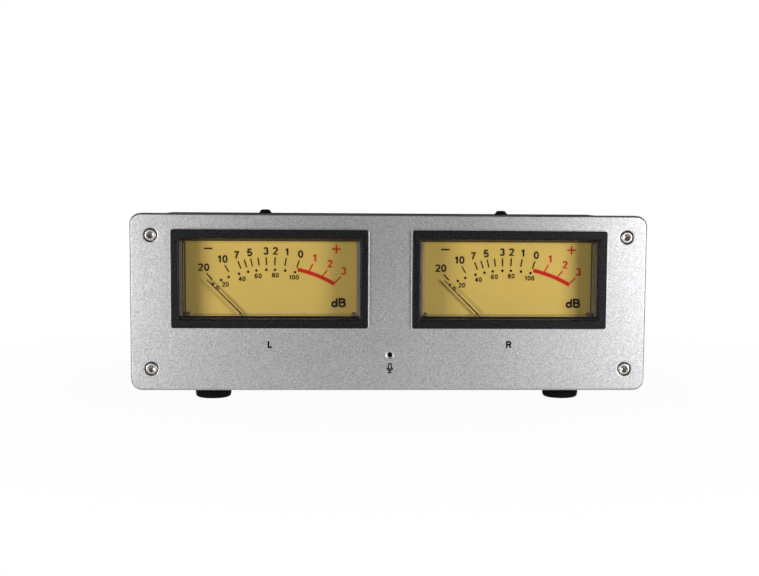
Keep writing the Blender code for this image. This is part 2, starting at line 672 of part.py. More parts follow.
def build_meter_case(side, centre, pivot):
    """Tub behind the panel, with dial posts, the yoke's seat, the rear bearing and lamp posts."""
    low = (centre[0] - CASE_WIDTH / 2, CASE_BOTTOM)
    high = (centre[0] + CASE_WIDTH / 2, CASE_TOP)
    middle = ((low[0] + high[0]) / 2, (low[1] + high[1]) / 2)
    height = CASE_TOP - CASE_BOTTOM
    shell = rounded(middle, CASE_WIDTH, height, CASE_WALL, 3)
    case = prism(f"meter_case_{side}", "Y", shell, depth(CASE_FRONT), depth(CASE_REAR))
    hollow = rounded(middle, CASE_WIDTH - 2 * CASE_WALL, height - 2 * CASE_WALL, CASE_WALL / 2, 2)
    cut(case, prism("hollow", "Y", hollow, depth(CASE_FRONT - CASE_WALL), depth(CASE_INNER_REAR)))
    root = depth(CASE_INNER_REAR + CASE_WALL / 2)

    seat = depth(YOKE_REAR + GAP)
    inner = YOKE_BORE + GAP
    outer = YOKE_RADIUS - GAP
    ring = [(inner, seat), (outer, seat), (outer, root), (inner, root)]
    join(case, turned("yoke_seat", "Y", pivot, ring))
    bearing = disc(BEARING_DIAMETER / 2, depth(STAFF_REAR - BEARING_ENGAGEMENT), root)
    join(case, turned("bearing", "Y", pivot, bearing, PLAIN_SIDES))
    cup = disc(STAFF_DIAMETER / 2 + GAP, depth(STAFF_REAR - 2 * BEARING_ENGAGEMENT), depth(STAFF_REAR + GAP))
    cut(case, turned("cup", "Y", pivot, cup, PLAIN_SIDES))
    shoulder = depth(DIAL_FACE + DIAL_THICKNESS + GAP)
    tip = depth(DIAL_FACE - DIAL_PIN_TIP)
    for post in dial_post_places(centre):
        profile = [
            (0, tip), (DIAL_PIN / 2, tip), (DIAL_PIN / 2, shoulder), (DIAL_POST / 2, shoulder),
            (DIAL_POST / 2, root), (0, root)]
        join(case, turned("dial_post", "Y", post, profile, PLAIN_SIDES))
    lamp_z = lamp_height(centre)
    back = depth(lamp_plane() + LAMP_THICKNESS + GAP)
    for sign in SIDES.values():
        spot = (centre[0] + sign * (LAMP_WIDTH / 2 - LAMP_POST), lamp_z)
        join(case, turned("lamp_post", "Y", spot, disc(LAMP_POST / 2, back, root), PLAIN_SIDES))
    finish(case, BLACK_PAINT, 0.5)


def lamp_plane():
    """Distance from the panel's face to the front of the lamp board."""
    return DIAL_FACE + DIAL_THICKNESS + LAMP_STANDOFF


def lamp_height(centre):
    """World Z of the lamp board's middle."""
    return centre[1] + DIAL_HEIGHT / 2 - LAMP_DROP


def build_lamp(side, centre):
    """Lamp board behind the dial, with its row of LEDs."""
    z = lamp_height(centre)
    front = depth(lamp_plane())
    low = (centre[0] - LAMP_WIDTH / 2, front, z - LAMP_HEIGHT / 2)
    high = (centre[0] + LAMP_WIDTH / 2, front + LAMP_THICKNESS, z + LAMP_HEIGHT / 2)
    board = box(f"meter_lamp_{side}", low, high)
    pitch = LAMP_WIDTH / LED_COUNT
    half = LED_SIZE / 2
    for i in range(LED_COUNT):
        x = centre[0] + (i - (LED_COUNT - 1) / 2) * pitch
        led = box("led", (x - half, front - half, z - half), (x + half, front + LAMP_THICKNESS / 2, z + half))
        join(board, led)
    finish(board, BOARD_GREEN, 0.5)


def build_movement(side, pivot):
    """Fixed parts of the moving-coil movement: yoke ring, core magnet, front bridge and hairspring."""
    front = depth(YOKE_FRONT)
    rear = depth(YOKE_REAR)
    ring = [(YOKE_BORE, front), (YOKE_RADIUS, front), (YOKE_RADIUS, rear), (YOKE_BORE, rear)]
    yoke = turned(f"meter_yoke_{side}", "Y", pivot, ring, FINE_SIDES)
    finish(yoke, STEEL, 0.5, 1.0)

    half = CORE_LENGTH / 2
    body = disc(CORE_RADIUS, depth(COIL_MIDDLE - half), depth(COIL_MIDDLE + half))
    core = turned(f"meter_core_{side}", "Y", pivot, body)
    reach = YOKE_BORE - GAP
    inset = RUNNING_CLEARANCE
    web = box(
        "web", (pivot[0] - CORE_WEB / 2, depth(COIL_MIDDLE - half + inset), pivot[1] - reach),
        (pivot[0] + CORE_WEB / 2, depth(COIL_MIDDLE + half - inset), pivot[1] + reach))
    join(core, web)
    finish(core, MAGNET_GREY, 0.5, 1.0)

    span = YOKE_RADIUS - GAP
    outline = rounded(pivot, 2 * span, BRIDGE_WIDTH, BRIDGE_WIDTH / 3, 4)
    bridge = prism(f"meter_bridge_{side}", "Y", outline, depth(BRIDGE_FRONT), depth(BRIDGE_REAR))
    foot = (YOKE_RADIUS - YOKE_BORE) / 2 - GAP
    for sign in SIDES.values():
        spot = (pivot[0] + sign * (YOKE_BORE + YOKE_RADIUS) / 2, pivot[1])
        post = disc(foot, depth(BRIDGE_FRONT + BRIDGE_THICKNESS / 2), depth(YOKE_FRONT - GAP))
        join(bridge, turned("post", "Y", spot, post, PLAIN_SIDES))
    jewel = disc(STAFF_DIAMETER / 2 + GAP, depth(BRIDGE_FRONT - SHEET), depth(BRIDGE_REAR + SHEET))
    cut(bridge, turned("jewel", "Y", pivot, jewel, PLAIN_SIDES))
    finish(bridge, BRASS, 0.35, 1.0)

    inner = STAFF_DIAMETER / 2 + GAP + SPRING_WIRE / 2
    outer = YOKE_BORE - GAP
    plane = depth((BRIDGE_REAR + COIL_FRONT) / 2)
    curve = bpy.data.curves.new(f"hairspring_{side}", "CURVE")
    curve.dimensions = "3D"
    curve.bevel_depth = SPRING_WIRE / 2
    curve.bevel_resolution = 0
    curve.use_fill_caps = True
    steps = PLAIN_SIDES * SPRING_TURNS
    spline = curve.splines.new("POLY")
    spline.points.add(steps)
    for i, point in enumerate(spline.points):
        radius = inner + (outer - inner) * i / steps
        angle = math.tau * SPRING_TURNS * i / steps
        x = pivot[0] + radius * math.cos(angle)
        point.co = (x, plane, pivot[1] + radius * math.sin(angle), 1.0)
    spring = bpy.data.objects.new(curve.name, curve)
    bpy.context.collection.objects.link(spring)
    finish(spring, BRASS, 0.3, 1.0)


def build_needle(side, pivot):
    """Pointer, hub, pivots and moving coil, which swing together."""
    half = POINTER_THICKNESS / 2
    near = depth(POINTER_PLANE - half)
    far = depth(POINTER_PLANE + half)
    root = POINTER_ROOT / 2
    tip = POINTER_TIP / 2
    outline = [
        (pivot[0] - root, pivot[1] - POINTER_TAIL), (pivot[0] + root, pivot[1] - POINTER_TAIL),
        (pivot[0] + tip, pivot[1] + POINTER_LENGTH), (pivot[0] - tip, pivot[1] + POINTER_LENGTH)]
    needle = prism(f"needle_{side}", "Y", outline, near, far)
    hub = disc(HUB_DIAMETER / 2, depth(HUB_FRONT), depth(HUB_FRONT + HUB_LENGTH))
    join(needle, turned("hub", "Y", pivot, hub))
    overlap = COIL_RADIAL / 2
    staff = disc(STAFF_DIAMETER / 2, depth(HUB_FRONT + HUB_LENGTH / 2), depth(COIL_FRONT + overlap))
    join(needle, turned("staff", "Y", pivot, staff, PLAIN_SIDES))
    inner = CORE_RADIUS + YOKE_CLEARANCE
    outer = inner + COIL_RADIAL
    width = COIL_WIDTH / 2
    coil = box(
        "coil", (pivot[0] - outer, depth(COIL_FRONT), pivot[1] - width),
        (pivot[0] + outer, depth(COIL_REAR), pivot[1] + width))
    space = box(
        "space", (pivot[0] - inner, depth(COIL_FRONT + COIL_RADIAL), pivot[1] - 2 * width),
        (pivot[0] + inner, depth(COIL_REAR - COIL_RADIAL), pivot[1] + 2 * width))
    cut(coil, space)
    join(needle, coil)
    tail = disc(STAFF_DIAMETER / 2, depth(COIL_REAR - overlap), depth(STAFF_REAR))
    join(needle, turned("staff_end", "Y", pivot, tail, PLAIN_SIDES))
    point = (pivot[0], depth(POINTER_PLANE), pivot[1])
    tilt(needle, point, "Y", -POINTER_REST)
    pivot_at(needle, point)
    finish(needle, INK, 0.5)


def build_meters():
    """Both meters, left and right."""
    for side, sign in SIDES.items():
        centre = (sign * METER_X, BEZEL_Z)
        pivot = (sign * METER_X, PIVOT_Z)
        build_meter_face(side, centre)
        build_meter_case(side, centre, pivot)
        build_lamp(side, centre)
        build_movement(side, pivot)
        build_needle(side, pivot)


def board_hole_places():
    """Name and place of each of the board's four mounting holes."""
    reach_x = BOARD_WIDTH / 2 - BOARD_HOLE_INSET
    for side, sign in SIDES.items():
        yield f"front_{side}", sign * reach_x, depth(BOARD_FRONT + BOARD_HOLE_INSET)
        yield f"rear_{side}", sign * reach_x, depth(BOARD_FRONT + BOARD_DEPTH - BOARD_HOLE_INSET)


def build_board():
    """Circuit board on nylon supports, with its larger components."""
    low_z = FLOOR_TOP + SUPPORT_HEIGHT + 2 * GAP
    top = low_z + BOARD_THICKNESS
    board = box(
        "main_board", (-BOARD_WIDTH / 2, depth(BOARD_FRONT), low_z),
        (BOARD_WIDTH / 2, depth(BOARD_FRONT + BOARD_DEPTH), top))
    bite = BOARD_THICKNESS / 2
    middle = depth(BOARD_FRONT + BOARD_DEPTH / 2)
    for sign in SIDES.values():
        capacitor = (sign * BOARD_WIDTH / 4, middle)
        body = disc(CAPACITOR_DIAMETER / 2, top - bite, top + CAPACITOR_HEIGHT)
        join(board, turned("capacitor", "Z", capacitor, body))
        header_x = sign * BOARD_WIDTH / 4
        header_y = depth(BOARD_FRONT + HEADER_DEPTH)
        low = (header_x - HEADER_WIDTH / 2, header_y - HEADER_DEPTH / 2, top - bite)
        high = (header_x + HEADER_WIDTH / 2, header_y + HEADER_DEPTH / 2, top + HEADER_HEIGHT)
        join(board, box("header", low, high))
    low = (-CHIP_WIDTH / 2, middle - CHIP_DEPTH / 2, top - bite)
    join(board, box("chip", low, (CHIP_WIDTH / 2, middle + CHIP_DEPTH / 2, top + CHIP_HEIGHT)))
    peg = SUPPORT_PEG / 2
    wide = SUPPORT_DIAMETER / 2
    for name, x, y in board_hole_places():
        cut(board, turned("hole", "Z", (x, y), disc(peg + GAP, low_z - SHEET, top + SHEET), PLAIN_SIDES))
        profile = [
            (0, FLOOR_Z), (peg, FLOOR_Z), (peg, FLOOR_TOP + GAP), (wide, FLOOR_TOP + GAP),
            (wide, low_z - GAP), (peg, low_z - GAP), (peg, top + BOARD_THICKNESS), (0, top + BOARD_THICKNESS)]
        support = turned(f"board_support_{name}", "Z", (x, y), profile, PLAIN_SIDES)
        finish(support, NYLON, 0.5)
    finish(board, BOARD_GREEN, 0.5)


def rear_place(index):
    """Centre of one of the fittings along the rear panel, from the front view's left."""
    return ((index - (REAR_FITTINGS - 1) / 2) * REAR_SPACING, PANEL_Z)


LINE_LEFT = rear_place(0)
LINE_RIGHT = rear_place(1)
SELECTOR = rear_place(2)
GAIN = rear_place(3)
POWER = rear_place(4)
INLET = rear_place(5)

# Sizes of the rear fittings that follow
ROCKER_CAVITY = ROCKER_RADIUS + RUNNING_CLEARANCE
SWITCH_WIDTH = ROCKER_WIDTH + 2 * (GAP + SWITCH_WALL)
SWITCH_HEIGHT = 2 * (ROCKER_CAVITY + SWITCH_WALL)
LEVER_BORE = LEVER_BALL / 2 + GAP
SELECTOR_BUSHING = LEVER_BORE + BUSHING_WALL
SHAFT_BORE = SHAFT_DIAMETER / 2 + GAP
POT_BUSHING = SHAFT_BORE + POT_BUSHING_WALL


def build_rear_panel():
    """Plate between the cover's sides, with holes for its screws, sockets and controls."""
    rear = depth(CASE_DEPTH)
    front = rear - REAR_THICKNESS
    half = TRAY_WIDTH / 2
    panel = box("rear_panel", (-half, front, FLOOR_Z), (half, rear, COVER_UNDERSIDE - GAP))
    start = front - SHEET
    end = rear + SHEET
    for _, x, z in panel_screw_places():
        cut(panel, turned("bore", "Y", (x, z), disc(CLEAR_HOLE / 2, start, end), PLAIN_SIDES))
    bores = (
        (LINE_LEFT, SOCKET_BODY / 2), (LINE_RIGHT, SOCKET_BODY / 2), (INLET, SOCKET_BODY / 2),
        (SELECTOR, SELECTOR_BUSHING), (GAIN, POT_BUSHING))
    for centre, radius in bores:
        cut(panel, turned("bore", "Y", centre, disc(radius + GAP, start, end)))
    reach_x = SWITCH_WIDTH / 2 + GAP
    reach_z = SWITCH_HEIGHT / 2 + GAP
    low = (POWER[0] - reach_x, start, POWER[1] - reach_z)
    cut(panel, box("slot", low, (POWER[0] + reach_x, end, POWER[1] + reach_z)))
    finish(panel, BLACK_PAINT, 0.5)


def build_sockets():
    """Two line-input sockets with a centre contact hole, and the power inlet with a centre pin."""
    face = depth(CASE_DEPTH) + GAP
    lip = face + SOCKET_FLANGE_THICKNESS
    inside = depth(CASE_DEPTH - REAR_THICKNESS - SOCKET_REACH)
    body = SOCKET_BODY / 2
    rim = SOCKET_FLANGE / 2
    for side, centre in (("left", LINE_LEFT), ("right", LINE_RIGHT)):
        shell = LINE_SHELL / 2
        bore = LINE_BORE / 2
        mouth = lip + LINE_SHELL_LENGTH
        profile = [
            (0, inside), (body, inside), (body, face), (rim, face), (rim, lip), (shell, lip),
            (shell, mouth), (bore, mouth), (bore, mouth - LINE_BORE_DEPTH), (0, mouth - LINE_BORE_DEPTH)]
        finish(turned(f"line_socket_{side}", "Y", centre, profile), BRASS, 0.3, 1.0)
    bore = POWER_BORE / 2
    pin = POWER_PIN / 2
    profile = [
        (0, inside), (body, inside), (body, face), (rim, face), (rim, lip), (bore, lip),
        (bore, lip - POWER_BORE_DEPTH), (pin, lip - POWER_BORE_DEPTH), (pin, lip - POWER_PIN_RECESS),
        (0, lip - POWER_PIN_RECESS)]
    finish(turned("power_inlet", "Y", INLET, profile), INK, 0.4)


def build_power_switch():
    """Switch body with a cavity, and the rocker that tips in it about a cross pin."""
    face = depth(CASE_DEPTH) + GAP
    lip = face + SWITCH_FLANGE_THICKNESS
    cavity = ROCKER_CAVITY
    floor = lip - cavity
    x, z = POWER
    outline = rounded(POWER, SWITCH_WIDTH, SWITCH_HEIGHT, SWITCH_WALL / 2, 2)
    body = prism("power_switch", "Y", outline, floor - SWITCH_WALL, face + SWITCH_FLANGE_THICKNESS / 2)
    wide = SWITCH_WIDTH + 2 * SWITCH_FLANGE
    tall = SWITCH_HEIGHT + 2 * SWITCH_FLANGE
    join(body, prism("flange", "Y", rounded(POWER, wide, tall, SWITCH_FLANGE, 3), face, lip))
    reach_x = ROCKER_WIDTH / 2 + GAP
    low = (x - reach_x, floor, z - cavity)
    cut(body, box("cavity", low, (x + reach_x, lip + cavity, z + cavity)))
    pivot = (lip - ROCKER_DIP, z)
    pin = ROCKER_PIN / 2
    reach = ROCKER_WIDTH / 2 + ROCKER_PIN_REACH
    cut(body, turned("pin_hole", "X", pivot, disc(pin + GAP, x - reach - GAP, x + reach + GAP), PLAIN_SIDES))
    finish(body, INK, 0.4)

    arm = math.sqrt(ROCKER_RADIUS ** 2 - ROCKER_RISE ** 2)
    belly = math.sqrt(ROCKER_RADIUS ** 2 - ROCKER_BELLY ** 2)
    outline = [
        (pivot[0] + ROCKER_DIP, z), (pivot[0] + ROCKER_RISE, z + arm), (pivot[0] - ROCKER_BELLY, z + belly),
        (pivot[0] - ROCKER_BELLY, z - belly), (pivot[0] + ROCKER_RISE, z - arm)]
    rocker = prism("power_rocker", "X", outline, x - ROCKER_WIDTH / 2, x + ROCKER_WIDTH / 2)
    join(rocker, turned("pin", "X", pivot, disc(pin, x - reach, x + reach), PLAIN_SIDES))
    point = (x, *pivot)
    tilt(rocker, point, "X", -ROCKER_TILT)
    pivot_at(rocker, point)
    finish(rocker, INK, 0.35)


def build_selector():
    """Toggle switch body with its bushing, and the lever that tips in the bushing on a ball."""
    face = depth(CASE_DEPTH)
    x, z = SELECTOR
    seat = face - REAR_THICKNESS - GAP
    low = (x - SELECTOR_BODY_WIDTH / 2, seat - SELECTOR_BODY_DEPTH, z - SELECTOR_BODY_HEIGHT / 2)
    body = box("selector_body", low, (x + SELECTOR_BODY_WIDTH / 2, seat, z + SELECTOR_BODY_HEIGHT / 2))
    mouth = face + SELECTOR_REACH
    join(body, turned("bushing", "Y", SELECTOR, disc(SELECTOR_BUSHING, seat - SHEET, mouth)))
    ball_y = face
    bore = disc(LEVER_BORE, ball_y - LEVER_BORE, mouth + SHEET)
    cut(body, turned("bore", "Y", SELECTOR, bore))
    finish(body, STEEL, 0.35, 1.0)

    ball = LEVER_BALL / 2
    root = LEVER_ROOT / 2
    start = math.degrees(math.asin(root / ball))
    profile = [(radius, ball_y + along) for along, radius in arc((0, 0), ball, 180, start, 6)]
    profile[0] = (0, ball_y - ball)
    tip = LEVER_TIP / 2
    end = ball_y + LEVER_LENGTH
    profile += [(radius, end - tip + along) for along, radius in arc((0, 0), tip, 90, 0, 4)]
    profile[-1] = (0, end)
    lever = turned("selector_lever", "Y", SELECTOR, profile, PLAIN_SIDES)
    point = (x, ball_y, z)
    tilt(lever, point, "X", -LEVER_TILT)
    pivot_at(lever, point)
    finish(lever, STEEL, 0.25, 1.0)


def build_gain():
    """Gain potentiometer, its shaft, and the grooved knob on the shaft."""
    face = depth(CASE_DEPTH)
    seat = face - REAR_THICKNESS - GAP
    pot = turned("gain_pot", "Y", GAIN, disc(POT_DIAMETER / 2, seat - POT_DEPTH, seat))
    mouth = face + POT_BUSHING_REACH
    join(pot, turned("bushing", "Y", GAIN, disc(POT_BUSHING, seat - SHEET, mouth)))
    shaft_start = face - SHAFT_ROOT
    cut(pot, turned("bore", "Y", GAIN, disc(SHAFT_BORE, shaft_start - GAP, mouth + SHEET)))
    finish(pot, STEEL, 0.4, 1.0)

    shaft_end = face + SHAFT_REACH
    shaft = turned("gain_shaft", "Y", GAIN, disc(SHAFT_DIAMETER / 2, shaft_start, shaft_end))
    pivot_at(shaft, (GAIN[0], face, GAIN[1]))
    finish(shaft, STEEL, 0.3, 1.0)

    start = face + KNOB_STANDOFF
    end = start + KNOB_LENGTH
    radius = KNOB_DIAMETER / 2
    profile = [
        (0, start), (radius, start), (radius, end - KNOB_CHAMFER), (radius - KNOB_CHAMFER, end), (0, end)]
    knob = turned("gain_knob", "Y", GAIN, profile, FINE_SIDES)
    for i in range(KNOB_GROOVES):
        angle = math.tau * i / KNOB_GROOVES
        centre = (GAIN[0] + radius * math.cos(angle), GAIN[1] + radius * math.sin(angle))
        groove = disc(KNOB_GROOVE / 2, start + KNOB_CHAMFER, end + KNOB_CHAMFER)
        cut(knob, turned("groove", "Y", centre, groove, PLAIN_SIDES))
    cut(knob, turned("bore", "Y", GAIN, disc(SHAFT_BORE, start - KNOB_CHAMFER, shaft_end + GAP)))
    pivot_at(knob, (GAIN[0], face, GAIN[1]))
    finish(knob, INK, 0.45)


def main():
    """Clear the scene and build every piece."""
    for item in list(bpy.data.objects):
        bpy.data.objects.remove(item)
    build_front_panel()
    build_tray()
    build_cover()
    build_pillars()
    build_end_screws()
    build_feet()
    build_meters()
    build_board()
    build_rear_panel()
    build_sockets()
    build_power_switch()
    build_selector()
    build_gain()


main()
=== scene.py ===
"""Looks of a desktop stereo level meter, laid out as a Blender add-on.

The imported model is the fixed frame. Each operator dresses one group of its pieces with a finer mesh and
a procedural finish, and the last one sets the stage: floor, light and camera. Lengths are in metres.
"""

import json
import math

import bmesh
import bpy
from bpy.props import FloatProperty, FloatVectorProperty, IntProperty, PointerProperty
from mathutils import Matrix, Vector
from mathutils.geometry import tessellate_polygon

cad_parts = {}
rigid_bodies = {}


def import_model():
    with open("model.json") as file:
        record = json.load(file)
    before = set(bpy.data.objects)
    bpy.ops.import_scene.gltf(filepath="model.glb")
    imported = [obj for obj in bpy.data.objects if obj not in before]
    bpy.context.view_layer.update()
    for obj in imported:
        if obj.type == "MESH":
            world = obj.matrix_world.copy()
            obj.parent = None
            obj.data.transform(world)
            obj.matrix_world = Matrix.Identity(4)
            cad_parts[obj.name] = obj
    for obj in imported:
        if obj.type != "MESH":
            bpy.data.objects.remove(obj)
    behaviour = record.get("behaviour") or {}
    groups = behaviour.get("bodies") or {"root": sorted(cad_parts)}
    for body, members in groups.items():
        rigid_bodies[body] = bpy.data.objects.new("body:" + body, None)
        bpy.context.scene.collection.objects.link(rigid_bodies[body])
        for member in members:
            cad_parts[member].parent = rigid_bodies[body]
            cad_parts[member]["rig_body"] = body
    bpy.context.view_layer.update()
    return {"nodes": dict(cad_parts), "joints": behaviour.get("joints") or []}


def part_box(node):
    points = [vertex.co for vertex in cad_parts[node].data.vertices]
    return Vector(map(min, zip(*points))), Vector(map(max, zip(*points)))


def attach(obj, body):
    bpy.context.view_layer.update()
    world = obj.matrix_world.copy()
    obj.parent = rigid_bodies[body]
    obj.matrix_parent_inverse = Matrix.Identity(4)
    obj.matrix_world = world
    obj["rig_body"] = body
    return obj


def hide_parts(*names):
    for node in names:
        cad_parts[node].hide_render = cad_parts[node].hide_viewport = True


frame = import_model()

bl_info = {
    "name": "Stereo level meter",
    "version": (1, 0, 0),
    "blender": (4, 5, 0),
    "location": "View3D > Sidebar > Level meter",
    "description": "Dresses the level meter's frame with fine meshes and finishes, and sets its stage",
    "category": "Object",
}

MM = 0.001
NODES = frame["nodes"]
SIDES = ("left", "right")
LEVELS = ("lower", "upper")
ENDS = ("front", "rear")
CORNER_STEPS = 6
ROUND_COUNT = 48
LETTER_WIDTH = 1.272


def length(name, description, millimetres):
    """Property for a size, given in millimetres."""
    return FloatProperty(
        name=name, description=description, default=millimetres * MM, min=0.0, precision=5, unit="LENGTH")


def share(name, description, value, most=1.0):
    """Property for a plain number from nought up."""
    return FloatProperty(name=name, description=description, default=value, min=0.0, max=most, subtype="FACTOR")


def colour(name, description, red, green, blue):
    """Property for an opaque colour in linear light."""
    return FloatVectorProperty(
        name=name, description=description, default=(red, green, blue, 1.0), size=4, min=0.0, max=1.0,
        subtype="COLOR")


class FrontSettings(bpy.types.PropertyGroup):
    """Front panel and its screws."""

    corner: length("Corner radius", "Radius of the panel's four corners", 5.0)
    rim: length("Rim chamfer", "Chamfer along the panel's front edge", 0.7)
    rim_round: length("Rim round", "Round on both edges of the rim chamfer", 0.25)
    back_edge: length("Back edge", "Round along the panel's rear edge", 0.3)
    window_width: length("Window width", "Width of each meter opening behind the bezel", 85.8)
    window_height: length("Window height", "Height of each meter opening behind the bezel", 40.4)
    window_corner: length("Window corner", "Corner radius of each meter opening", 1.0)
    swell_width: length("Swell width", "Width of the low swell of the panel round a bezel", 0.6)
    swell_height: length("Swell height", "Height of the low swell of the panel round a bezel", 0.13)
    swell_outer: share("Outer swell", "Share of the swell that the outer sides of a bezel keep", 0.2)
    counterbore: length("Counterbore", "Diameter of the screw heads' counterbores", 6.4)
    seat_depth: length("Seat depth", "Depth of the counterbores", 3.3)
    screw_hole: length("Screw hole", "Diameter of the holes under the screw heads", 3.6)
    mic_hole: length("Microphone hole", "Diameter of the sound hole", 2.3)
    mic_countersink: length("Microphone countersink", "Diameter of the sound hole's countersink", 4.4)
    mic_pocket: length("Microphone pocket", "Diameter of the capsule's pocket", 10.3)
    mic_pocket_depth: length("Microphone pocket depth", "Depth of the capsule's pocket from the rear", 3.0)
    mic_height: length("Microphone height", "Height of the sound hole over the panel's lower edge", 16.4)
    mark_height: length("Mark height", "Height of the printed channel marks", 3.0)
    mark_line: length("Mark line", "Line width of the printed channel marks", 0.76)
    mark_drop: length("Mark drop", "Distance from a bezel down to the middle of its channel mark", 7.4)
    silver: colour("Silver", "Anodised metal of the panel", 0.445, 0.445, 0.454)
    grain_scale: FloatProperty(name="Grain scale", description="Blasted grains per metre", default=4200.0)
    grain_depth: length("Grain depth", "Depth of the blasted grain", 0.012)
    steel: colour("Plated steel", "Bright plated screws and nuts", 0.42, 0.395, 0.37)


class MeterSettings(bpy.types.PropertyGroup):
    """Bezels, lenses, dials and needles."""

    bezel_corner: length("Bezel corner", "Corner radius of a bezel's outline", 1.0)
    bezel_round: length("Bezel round", "Round of a bezel's outer front edge", 0.45)
    window_width: length("Window width", "Width of a bezel's clear window", 82.2)
    window_height: length("Window height", "Height of a bezel's clear window", 36.8)
    window_round: length("Window round", "Round of a bezel's inner front edge", 0.6)
    collar_wall: length("Collar wall", "Wall of the collar that passes through the panel", 1.5)
    collar_reach: length("Collar reach", "How far the collar passes behind the panel's face", 7.5)
    lens_plate: length("Lens plate", "Thickness of a lens's front", 1.5)
    lens_wall: length("Lens wall", "Thickness of a lens's sides", 1.6)
    lens_round: length("Lens round", "Round of a lens's front edge", 0.05)
    # The liner is painted shade: a dark frame put where the dial's rim lies in shadow behind the lens walls.
    liner_wall: length("Liner wall", "How far the dark liner passes inside a lens's sides", 0.3)
    liner_open: length("Liner opening", "How far the liner keeps clear of a lens's inner side", 0.2)
    liner_brow: length("Liner brow", "How far the liner passes below a lens's upper edge", 1.15)
    # The seal is painted shade: a black bar over the lens's lower edge, where the dial's lower rim lies in shadow.
    shade_seal: length("Seal", "Height of the rubber seal over a lens's lower edge", 0.75)
    liner_flange: length("Liner flange", "How far the liner's flange passes the lens's sides", 1.0)
    dial_corner: length("Dial corner", "Corner radius of a dial plate", 0.4)
    pin_hole: length("Pin hole", "Diameter of the holes for the dial posts' pins", 2.4)
    cap: length("Pin cap", "Diameter of the caps over the upper pins", 2.7)
    cap_bore: length("Pin cap bore", "Bore of the caps over the upper pins", 2.0)
    cap_height: length("Pin cap height", "Height of the caps over the dial", 0.75)
    pin_inset_x: length("Pin inset across", "Distance of the pins from a dial's side edges", 3.7)
    pin_inset_z: length("Pin inset up", "Distance of the pins from a dial's upper and lower edges", 2.2)
    arc_drop: length("Scale arc drop", "Distance of the scale arcs' centre below a needle's pivot", 22.4)
    tick_arc: length("Tick arc", "Radius of the arc that the ticks stand on", 58.4)
    tick_length: length("Tick length", "Length of a tick", 3.75)
    tick_line: length("Tick line", "Line width of a tick", 0.62)
    red_arc: length("Red arc", "Radius of the red zone's middle line", 57.75)
    red_line: length("Red line", "Width of the red zone", 1.75)
    dot_arc: length("Dot arc", "Radius of the arc of dots", 56.3)
    dot: length("Dot", "Diameter of a dot", 1.25)
    numeral: length("Numeral", "Height of the large numerals", 3.3)
    numeral_line: length("Numeral line", "Line width of the large numerals", 0.77)
    numeral_gap: length("Numeral gap", "Height of a numeral's middle over its tick's end", 2.85)
    numeral_lean: length("Numeral lean", "How far a numeral keeps to the side of a level tick's end", 1.9)
    small_numeral: length("Small numeral", "Height of the small numerals", 2.05)
    small_gap: length("Small gap", "Distance from a dot to its small numeral's middle", 2.5)
    small_shift: length("Small shift", "How far the small numerals stand to the right of their dots", 0.35)
    small_line: length("Small line", "Line width of the small numerals", 0.49)
    sign_size: length("Sign size", "Width of the plus and minus signs", 4.0)
    sign_line: length("Sign line", "Line width of the plus and minus signs", 0.74)
    minus_x: length("Minus distance", "Distance of the minus sign to the left of the dial's middle", 28.85)
    plus_x: length("Plus distance", "Distance of the plus sign to the right of the dial's middle", 30.15)
    sign_z: length("Sign height", "Height of the plus and minus signs over the needle's pivot", 43.6)
    unit: length("Unit", "Height of the unit's letters", 4.0)
    unit_line: length("Unit line", "Line width of the unit's letters", 0.98)
    unit_x: length("Unit distance", "Distance of the unit from the dial's middle", 31.2)
    unit_z: length("Unit height", "Height of the unit over the needle's pivot", 18.7)
    charcoal: colour("Charcoal", "Moulded bezel", 0.0045, 0.0045, 0.0051)
    # The strips are a painted highlight: pale bars where the clear lens walls catch light.
    strip: length("Strip", "Width of the pale strip behind a lens's inner side", 1.4)
    edge_strip: length("Edge strip", "Width of the pale strip behind a lens's outer wall", 0.7)
    strip_highlight: colour("Frosted grey", "Pale strip behind a lens's inner side", 0.21, 0.19, 0.165)
    # Liner brown is painted shade: the gold dial's colour in shadow.
    brown: colour("Liner brown", "Dark liner round a dial", 0.045, 0.026, 0.008)
    gold: colour("Dial gold", "Printed dial plate", 0.55, 0.385, 0.088)
    ink: colour("Ink", "Black print and needle", 0.0016, 0.0013, 0.001)
    red: colour("Red", "Red print", 0.50, 0.012, 0.008)


class CaseSettings(bpy.types.PropertyGroup):
    """Case, feet and inner pieces."""

    edge: length("Sheet edge", "Round along the edges of the sheet metal", 0.2)
    foot_edge: length("Foot edge", "Round of a foot's lower rim", 1.6)
    foot_taper: length("Foot taper", "How much narrower a foot is at its lower end, in radius", 0.5)
    foot_recess: length("Foot recess", "Diameter of a foot's screw recess", 7.4)
    foot_recess_depth: length("Foot recess depth", "Depth of a foot's screw recess", 4.5)
    black: colour("Case black", "Powder coat of the case", 0.018, 0.018, 0.019)
    rubber: colour("Rubber", "Rubber of the feet", 0.002, 0.002, 0.0021)
    black_steel: colour("Black steel", "Oxide-black screws", 0.02, 0.02, 0.021)
    board: colour("Board green", "Solder mask of the boards", 0.02, 0.12, 0.05)
    nylon: colour("Nylon", "Board supports", 0.72, 0.70, 0.64)
    magnet: colour("Magnet grey", "Core magnets", 0.13, 0.13, 0.135)


